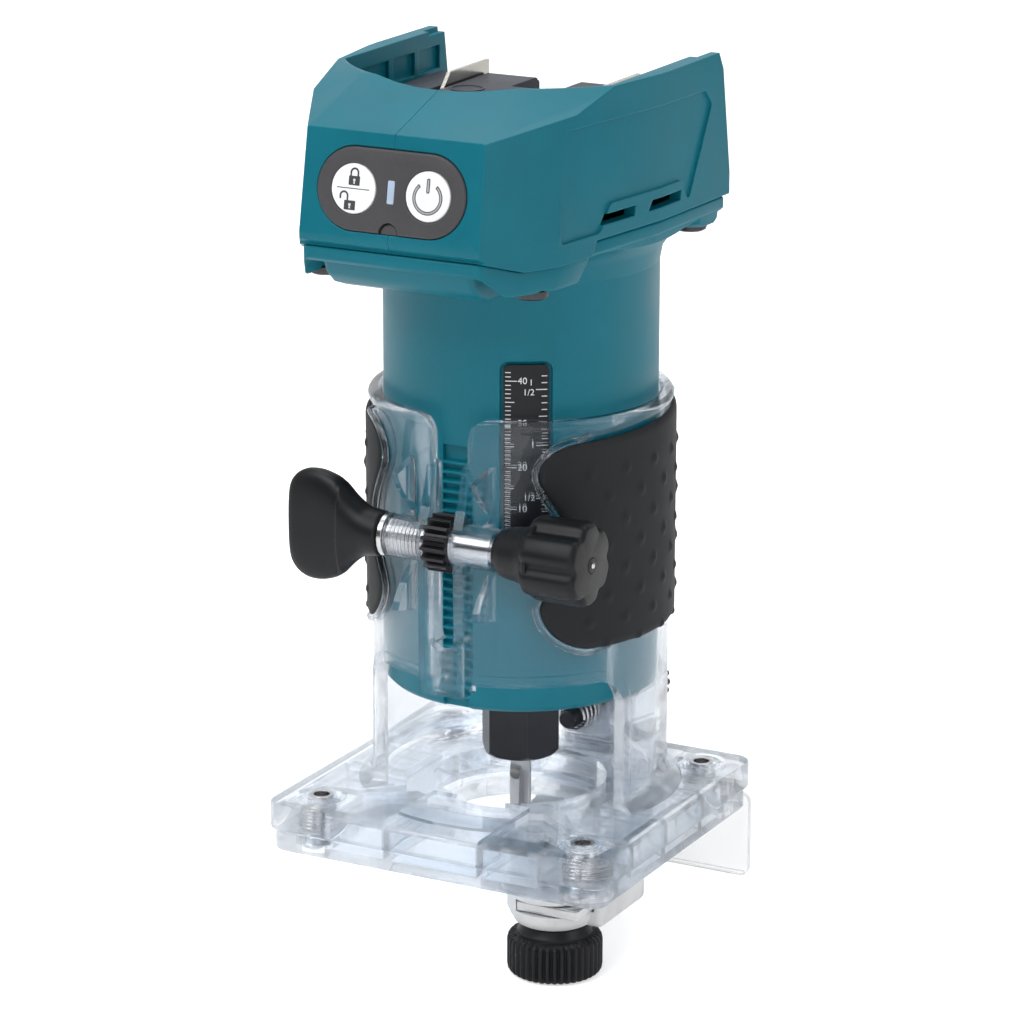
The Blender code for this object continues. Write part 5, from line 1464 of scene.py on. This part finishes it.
def padlock(x, y, shackle_x, shackle_y, open_shackle):
    """Outlines of a padlock: its body, its shackle, and the legs that join them."""
    half_x, half_y = 1.4, 1.05
    body = rounded_rectangle((x - half_x, y - half_y), (x + half_x, y + half_y), 0.18, 4)
    shackle = band((shackle_x, shackle_y), 0.7, 1.12, 0, 180)
    shapes = [body, shackle]
    foot = y + half_y
    ends = [(shackle_x + 0.7, shackle_x + 1.12)]
    if not open_shackle:
        ends.append((shackle_x - 1.12, shackle_x - 0.7))
    else:
        left = shackle_x - 1.12
        shapes.append([(left, shackle_y - 0.7), (left + 0.42, shackle_y - 0.7),
                       (left + 0.42, shackle_y + 0.02), (left, shackle_y + 0.02)])
    for low, high in ends:
        shapes.append([(low, foot - 0.1), (high, foot - 0.1), (high, shackle_y + 0.02),
                       (low, shackle_y + 0.02)])
    return shapes


def keyhole(x, y):
    drop = [(x - 0.2, y - 0.65), (x + 0.2, y - 0.65), (x + 0.14, y + 0.1), (x - 0.14, y + 0.1)]
    return [arc((x, y + 0.18), 0.32, 0, 345, 20), drop]


def lock_marks():
    line = [[(-4.1, -0.1), (4.1, -0.1), (4.1, 0.1), (-4.1, 0.1)]]
    shut = padlock(0.18, 1.75, 0.18, 3.55, False)
    loose = padlock(-0.6, -3.75, -2.15, -1.75, True)
    printed_on(line + shut + loose, "lock_marks", "lock_button", -BUTTON_X)
    holes = printed_on(keyhole(0.18, 1.7) + keyhole(-0.6, -3.8), "lock_keyholes", "lock_button",
                       -BUTTON_X, "white_ink", "button_white")
    out = (panel_frame() @ Vector((0, 0, 0.02)) - panel_frame().translation) * MM
    holes.data.transform(Matrix.Translation(out))


def power_marks():
    """The power sign, drawn as a dark outline round a grey stroke."""
    start, end = 90 + 38, 90 + 360 - 38
    ring = band((0, -0.35), 2.95, 3.75, start, end, 80)
    bar = rounded_rectangle((-0.42, 0.7), (0.42, 4.0), 0.4, 6)
    printed_on([ring, bar], "power_marks", "power_button", BUTTON_X)
    inner = band((0, -0.35), 3.17, 3.53, start + 4, end - 4, 80)
    stroke = rounded_rectangle((-0.2, 0.95), (0.2, 3.75), 0.18, 6)
    core = printed_on([inner, stroke], "power_core", "power_button", BUTTON_X, "mid_ink",
                      "panel_grey")
    out = (panel_frame() @ Vector((0, 0, 0.02)) - panel_frame().translation) * MM
    core.data.transform(Matrix.Translation(out))


def led():
    body = bevelled(prism(rounded_rectangle((-0.9, -2.64), (0.9, 2.64), 0.35, 4), -3.0, 0.2),
                    0.12, 2, 60)
    moved(body, panel_frame())
    return piece(body, "led", "motor_unit", "window_blue", "led_window")


# ---------------------------------------------------------------- battery contacts


def contact_block():
    """The contact block on the bay floor, with moulded rings, steps and slots."""
    front = arc((0, 1.9), 39.2, 180 + 44, 360 - 44, 40)
    outline = front + [(33.6, 3.0), (33.6, 20.0), (-33.6, 20.0), (-33.6, 3.0)]
    body = bevelled(prism(outline, BAY_FLOOR_Z + GAP, 174.6), 0.5, 2, 50)
    join(body, bevelled(box((-32.6, -19.0, 173.0), (32.6, 20.5, 178.6)), 0.7, 3, 50))
    join(body, bevelled(box((-26.5, -25.0, 173.0), (26.5, 19.6, 179.4)), 0.9, 3, 50))
    slots = [box((x - 1.2, -6, 173.6), (x + 1.2, 24, 181)) for x in (-20.0, 20.0)]
    slots.append(box((-6, 6, 174.6), (6, 24, 181)))
    cut(body, *slots)
    rings = [shift(tube(3.6, 4.1, 178.6, 179.65, MEDIUM), x, -1.5) for x in (-13.5, 13.5)]
    rings.append(shift(tube(1.9, 2.3, 178.6, 179.6, MEDIUM), 0, -4.5))
    join(body, *rings)
    return piece(body, "contact_block", "motor_unit", "terminal_grey", "terminal_block")


# ---------------------------------------------------------------- edge guide


def ribbed(radius, depth, ribs, low, high):
    """A knob body with fine rounded ribs and softly rounded ends."""
    outline = []
    for i in range(ribs * 6):
        angle = 2 * pi * i / (ribs * 6)
        r = radius - depth * (0.5 - 0.5 * cos(ribs * angle)) ** 1.6
        outline.append((r * cos(angle), r * sin(angle)))
    ends = [(1 - 1.5 / radius, low), (1 - 0.7 / radius, low + 0.35), (1 - 0.15 / radius, low + 1.0),
            (1, low + 1.8)]
    ends += [(k, high + low - z) for k, z in reversed(ends)]
    return lofted(outline, ends)


def rear_clamp():
    """The clamp's threaded rod and its ribbed knob at the back of the base."""
    rod = turned([(0, 24.4), (2.0, 24.4)] + threaded(25.0, 66.0, 2.5, 0.8, 0.28)[1:], 36)
    knob = ribbed(9.7, 0.8, 24, ARM_Y + ARM_THICK + 2.2, 64.5)
    join(knob, turned([(0, ARM_Y + ARM_THICK + GAP), (6.2, ARM_Y + ARM_THICK + GAP),
                       (6.6, 52.0), (6.6, 54), (0, 54)]))
    cut(knob, cylinder(2.7, 40, 70, MEDIUM), turned([(2, 63.6), (6.4, 64.0), (7.0, 66), (2, 66)]))
    along_y(rod, 0, 0, CLAMP_AXIS_Z)
    along_y(knob, 0, 0, CLAMP_AXIS_Z)
    piece(rod, "clamp_rod", "guide_clamp", "black_oxide", "guide_clamp_screw")
    piece(knob, "rear_knob", "guide_clamp", "black_plastic", "guide_clamp_knob", sharp=28)


def steel_arm():
    """The pressed arm, with rounded edges and its slots."""
    body = upright(rounded_rectangle((-9, -14.0), (12, 30), 2.0, 6), ARM_Y, ARM_Y + ARM_THICK)
    bevelled(body, 0.35, 2, 50)
    strip = prism(
        [(19, -38), (35, -38), (35, 2), (12, ARM_Y + 1), (-8, ARM_Y + 1), (19, 0)],
        STRIP_TOP_Z - ARM_THICK, STRIP_TOP_Z)
    join(body, bevelled(strip, 0.35, 2, 50))
    slot = upright(rounded_rectangle((-2.9, CLAMP_AXIS_Z - 3.0), (2.9, 36), 2.8, 8), 40, 55)
    stud_slot = prism(rounded_rectangle((21.6, -36.2), (27.4, -17.8), 2.8, 8), -10, 0)
    holes = [along_y(cylinder(1.7, 40, 55, 24), x, 0, SHIELD_SCREW_Z) for x in SHIELD_SCREWS_X]
    cut(body, slot, stud_slot, shift(cylinder(1.8, -10, 0, 24), *BRACKET_SCREW), *holes)
    return piece(body, "steel_arm", "edge_guide", "bright_steel", "guide_arm")


def web():
    """The cast bracket with its tongue towards the cutter."""
    outline = [(-5.0, 13.6), (-4.2, 13.4), (-1.5, 16.5), (4.0, 22.0), (14.0, 27.0), (12.0, 45.8),
               (-9.0, 45.8), (-9.0, 34.0), (-7.0, 25.0)]
    body = bevelled(prism(outline, STRIP_TOP_Z + GAP, -0.6), 0.45, 2, 50)
    cut(body, shift(cylinder(1.7, -10, 0, 24), *BRACKET_SCREW))
    return piece(body, "cast_web", "edge_guide", "cast_aluminium", "guide_bracket")


def shield():
    body = bevelled(upright(rounded_rectangle((-40.6, -22.4), (40.6, -0.6), 2.5, 8),
                            ARM_Y - GAP - 2.0, ARM_Y - GAP), 0.3, 2, 50)
    rib = bevelled(box((-40.0, ARM_Y - GAP - 3.1, -21.8), (40.0, ARM_Y - GAP - 1.9, -20.6)),
                   0.3, 2, 50)
    join(body, rib)
    notch = upright([(-9.4, -6.9), (14.4, -6.9), (14.4, 2), (-9.4, 2)], 40, 50)
    holes = [along_y(cylinder(1.7, 40, 55, 24), x, 0, SHIELD_SCREW_Z) for x in SHIELD_SCREWS_X]
    cut(body, notch, *holes)
    return piece(body, "shield", "edge_guide", "clear_shield", "chip_shield")


def holder():
    """The cast slider, with rounded corners and a seat for the roller."""
    block = bevelled(box((11.7, -30.0, HOLDER_LOW_Z), (37.4, -6.5, -0.6)), 1.6, 4, 60)
    boss = shift(turned([(0, HOLDER_LOW_Z), (8.6, HOLDER_LOW_Z), (9.4, HOLDER_LOW_Z + 0.5),
                         (10.5, -8.4), (10.9, -1.4), (10.5, -0.6), (0, -0.6)], MEDIUM),
                 24.0, -28.5)
    toe = shift(turned([(0, HOLDER_LOW_Z), (5.9, HOLDER_LOW_Z), (6.4, HOLDER_LOW_Z + 0.4),
                        (7.0, -9.4), (7.4, -1.2), (7.0, -0.6), (0, -0.6)], MEDIUM), *ROLLER)
    join(block, boss)
    join(block, toe)
    slot = box((19 - GAP, -60, STRIP_TOP_Z - ARM_THICK - GAP), (35 + GAP, 20, STRIP_TOP_Z + GAP))
    stud = shift(cylinder(2.5 + RUNNING + 0.1, -20, 2, 32), *GUIDE_KNOB)
    axle = shift(cylinder(1.7, -20, 2, 24), *ROLLER)
    seat = shift(cylinder(6.1, -3.4, 2, MEDIUM), *ROLLER)
    cut(block, slot, stud, axle, seat)
    return piece(block, "holder", "guide_holder", "cast_aluminium", "guide_holder")


def lower_knob():
    """The ribbed knob under the holder, and its stud."""
    body = ribbed(11.3, 0.75, 40, -23.4, -13.6)
    collar = turned([(0, -14.6), (8.9, -14.6), (8.9, -12.9), (8.4, -12.2), (7.9, HOLDER_LOW_Z - GAP),
                     (0, HOLDER_LOW_Z - GAP)], MEDIUM)
    join(body, collar)
    dish = turned([(0, -25), (7.6, -25), (7.2, -22.8), (4.0, -22.5), (0, -22.5)], MEDIUM)
    cut(body, cylinder(2.6, -20, -5, 32), dish)
    shift(body, *GUIDE_KNOB)
    stud = shift(turned([(0, -19.6)] + threaded(-19.6, -1.9, 2.5, 0.8, 0.25)[1:-1]
                        + [(2.1, -1.6), (0, -1.6)], 32), *GUIDE_KNOB)
    piece(body, "lower_knob", "guide_knob", "black_plastic", "guide_knob", sharp=28)
    piece(stud, "lower_stud", "guide_knob", "dark_steel", "guide_stud")


def roller():
    body = turned([(1.6, -16.4), (5.2, -16.4), (5.8, -16.1), (6.0, -15.5), (6.0, -12.3),
                   (5.8, -11.7), (5.2, -11.4), (1.6, -11.4)], MEDIUM)
    piece(shift(body, *ROLLER), "roller", "guide_roller", "turned_steel", "guide_roller",
          slot="bright_steel")
    axle = turned([(0, -18.2), (2.7, -18.2), (3.0, -17.9), (3.0, -16.8), (1.4, -16.8), (1.4, -3.1),
                   (5.8, -3.1), (5.6, -2.2), (4.9, -1.5), (3.6, -0.95), (1.6, -0.65), (0, -0.6)],
                  MEDIUM)
    piece(shift(axle, *ROLLER), "roller_axle", "guide_holder", "bright_steel", "roller_screw")


def pan_screws():
    """The two screws that hold the shield."""
    front = ARM_Y - GAP - 2.0
    for index, x in enumerate(SHIELD_SCREWS_X, 1):
        body = turned([(0, front - 1.95), (1.6, front - 1.9), (2.5, front - 1.5),
                       (3.0, front - 0.9), (3.0, front - 0.1), (1.4, front - 0.1),
                       (1.4, ARM_Y + ARM_THICK), (0, ARM_Y + ARM_THICK)], 32)
        cut(body, box((-1.8, -0.3, front - 2.5), (1.8, 0.3, front - 1.1)),
            box((-0.3, -1.8, front - 2.5), (0.3, 1.8, front - 1.1)))
        piece(along_y(body, x, 0, SHIELD_SCREW_Z), f"pan_screw_{index}", "edge_guide",
              "bright_steel", f"shield_screw_{index}")


# ---------------------------------------------------------------- collet and cutter


def hex_nut():
    """The collet nut, its corners turned off at both ends."""
    tip = 17.0 / sqrt(3)
    blank = prism([(tip * cos(radians(60 * i + 8 - 90 + 30)), tip * sin(radians(60 * i - 52)))
                   for i in range(6)], NUT_LOW_Z, NUT_TOP_Z)
    low, high = NUT_LOW_Z, NUT_TOP_Z
    round_off = turned(
        [(0, low), (8.3, low), (8.8, low + 0.2), (tip + 0.2, low + 1.5), (tip + 0.2, high - 1.5),
         (8.8, high - 0.2), (8.3, high), (0, high)], 96)
    keep(blank, round_off)
    cut(blank, turned([(0, 12), (3.6, 12), (3.3, low + 0.8), (3.3, 20.8), (6.35, 20.8),
                       (6.35, 40), (0, 40)], 48))
    return piece(blank, "hex_nut", "collet_nut", "black_oxide", "collet_nut")


def cutter():
    """The straight cutter: a plain shank and one ground flute with its relief."""
    body = turned([(0, 0.0), (2.45, 0.0), (2.6, 0.2), (2.6, 31.6), (0, 31.6)], 48)
    flute = prism([(0.35, -0.3), (4, -0.3), (4, -4), (1.2, -4)], -1, 15.0)
    run = turned([(0, -3.6), (3.6, -3.6), (3.6, 3.6), (0, 3.6)], 40)
    along_x(run, 0, -3.9, 15.0)
    cut(body, flute, run)
    return piece(body, "cutter", "spindle", "cutter_steel", "router_bit")


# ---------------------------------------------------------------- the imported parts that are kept


KEPT = {
    "clamp_washer": "turned_steel", "adjust_pinion": "black_oxide", "spindle": "turned_steel",
    "rotor": "dark_steel", "stator": "dark_steel", "bearing_bracket": "cast_aluminium",
    "cooling_fan": "black_plastic", "collet_cone": "bright_steel",
    "stator_winding": "copper_winding", "lower_bearing": "turned_steel",
    "upper_bearing": "turned_steel", "switch_board": "green_board", "controller": "green_board",
    "terminal_blade_left": "nickel_contact", "terminal_blade_right": "nickel_contact",
    "bracket_screw": "bright_steel",
}


def finish_kept():
    """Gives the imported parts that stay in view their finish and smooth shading."""
    for name, finish in KEPT.items():
        node = frame["nodes"][name]
        node.data.materials.clear()
        node.data.materials.append(FINISHES[finish])
        weld = node.modifiers.new("weld", "WELD")
        weld.merge_threshold = 1e-6
        split = node.modifiers.new("creases", "EDGE_SPLIT")
        split.split_angle = radians(35)
        node.data.shade_smooth()


# ---------------------------------------------------------------- studio


def floor():
    """A pale floor that curves up into a backdrop."""
    low = -22.0 - 1.5
    profile = [(-1500, low), (900, low)] + arc((900, low + 500), 500, 270, 360, 24)
    profile += [(1400, 2600)]
    bm = bmesh.new()
    rows = [[bm.verts.new((x * MM, y * MM, z * MM)) for y, z in profile] for x in (-3000, 3000)]
    for i in range(len(profile) - 1):
        bm.faces.new((rows[0][i], rows[1][i], rows[1][i + 1], rows[0][i + 1]))
    body = object_of(bm, "studio_floor")
    body.data.shade_smooth()
    for poly in body.data.polygons:
        if poly.normal.z < -0.01 or (abs(poly.normal.z) < 0.01 and poly.normal.y > 0):
            body.data.flip_normals()
            break
    g = Graph("paper")
    light = g.tree.nodes.new("ShaderNodeLightPath")
    g.set(Base_Color=(0.93, 0.93, 0.93), Roughness=0.9, Specular_IOR_Level=0.1,
          Normal=g.bump(g.noise(2.0, 3.0), 0.01), Emission_Color=(1.0, 1.0, 1.0),
          Emission_Strength=g.ramp(light.outputs["Is Camera Ray"], 0, 1, 0.12, 0.5))
    body.data.materials.append(g.material)
    body.rotation_euler.z = radians(VIEW_AZIMUTH)


VIEW_AZIMUTH = 27.84
VIEW_ELEVATION = 16.31
VIEW_SHIFT = -2.12  # how far the aim is shifted along the picture's width
VIEW_TARGET_Z = 78.27
VIEW_DISTANCE = 1029.9
VIEW_ROLL = 0.07


def direction(azimuth, elevation):
    """Towards a viewer who stands at this azimuth from the front, counted towards +X."""
    a, e = radians(azimuth), radians(elevation)
    return Vector((sin(a) * cos(e), -cos(a) * cos(e), sin(e)))


def area_light(name, azimuth, elevation, distance, size, power, target=(0, 0, 90)):
    """A soft square light that faces a point on the object."""
    data = bpy.data.lights.new(name, "AREA")
    data.shape = "RECTANGLE"
    data.size, data.size_y = (s * MM for s in size)
    data.energy = power
    light = bpy.data.objects.new(name, data)
    bpy.context.scene.collection.objects.link(light)
    aim = direction(azimuth, elevation)
    light.location = (Vector(target) + aim * distance) * MM
    light.rotation_euler = aim.to_track_quat("Z", "Y").to_euler()


def banded_world():
    """Even light for matt surfaces. Gloss and clear plastic see bright panels and dark gaps."""
    world = bpy.data.worlds.new("studio")
    world.use_nodes = True
    tree = world.node_tree

    def math(operation, first, second=0.0):
        made = tree.nodes.new("ShaderNodeMath")
        made.operation = operation
        for socket, value in zip(made.inputs, (first, second)):
            if isinstance(value, bpy.types.NodeSocket):
                tree.links.new(value, socket)
            else:
                socket.default_value = value
        return made.outputs[0]

    towards = tree.nodes.new("ShaderNodeTexCoord").outputs["Generated"]
    parts = tree.nodes.new("ShaderNodeSeparateXYZ")
    tree.links.new(towards, parts.inputs[0])
    turn = math("ARCTAN2", parts.outputs["Y"], parts.outputs["X"])
    wave = math("SINE", math("ADD", math("MULTIPLY", turn, 4.0), 0.6))
    bands = math("ADD", math("MULTIPLY", math("GREATER_THAN", wave, 0.0), 0.6), 0.02)
    rays = tree.nodes.new("ShaderNodeLightPath").outputs
    sharp = math("MAXIMUM", rays["Is Glossy Ray"], rays["Is Transmission Ray"])
    even = math("MULTIPLY", math("SUBTRACT", 1.0, sharp), 0.33)
    strength = math("ADD", even, math("MULTIPLY", sharp, bands))
    background = tree.nodes["Background"]
    background.inputs["Color"].default_value = (1.0, 1.0, 1.0, 1.0)
    tree.links.new(strength, background.inputs["Strength"])
    return world


def studio():
    floor()
    area_light("key", VIEW_AZIMUTH - 52, 48, 1100, (700, 700), 7.0)
    area_light("fill", VIEW_AZIMUTH + 58, 26, 1200, (600, 1000), 3.6)
    area_light("top", VIEW_AZIMUTH + 180, 74, 1000, (900, 600), 5.5)
    area_light("front", VIEW_AZIMUTH, 8, 1500, (900, 500), 2.0)
    scene = bpy.context.scene
    scene.world = banded_world()
    scene.view_settings.view_transform = "Standard"
    scene.view_settings.look = "None"
    scene.cycles.max_bounces = 20
    scene.cycles.transmission_bounces = 18
    scene.cycles.transparent_max_bounces = 24


def camera():
    """The photograph's viewpoint: a long lens, slightly above the panel."""
    data = bpy.data.cameras.new("camera")
    data.lens = 152.06
    data.sensor_width = 36.0
    data.clip_start = 0.05
    data.clip_end = 20.0
    holder_object = bpy.data.objects.new("camera", data)
    bpy.context.scene.collection.objects.link(holder_object)
    a, e = radians(VIEW_AZIMUTH), radians(VIEW_ELEVATION)
    target = Vector((VIEW_SHIFT * cos(a), VIEW_SHIFT * sin(a), VIEW_TARGET_Z))
    back = Vector((sin(a) * cos(e), -cos(a) * cos(e), sin(e)))
    holder_object.location = (target + back * VIEW_DISTANCE) * MM
    turn = back.to_track_quat("Z", "Y") @ Quaternion((0, 0, 1), radians(VIEW_ROLL))
    holder_object.rotation_euler = turn.to_euler()
    bpy.context.scene.camera = holder_object


# ---------------------------------------------------------------- everything


def build_all():
    clear_base()
    clear_protector()
    base_fasteners()
    for side, name in ((-1, "grip_left"), (1, "grip_right")):
        grip_skin(side, name)
        grip_lip(side, name + "_lip")
    clamp_coil()
    boss_bush()
    motor_body()
    scale()
    scale_marks()
    scale_pointer()
    adjust_knob()
    wing_knob()
    shaft()
    knob_end_screw()
    head_halves()
    lobe_screws()
    bezel()
    button("lock_face", -BUTTON_X, "lock_button")
    button("power_face", BUTTON_X, "power_button")
    lock_marks()
    power_marks()
    led()
    contact_block()
    rear_clamp()
    steel_arm()
    web()
    shield()
    holder()
    lower_knob()
    roller()
    pan_screws()
    hex_nut()
    cutter()
    finish_kept()


build_all()
studio()
camera()
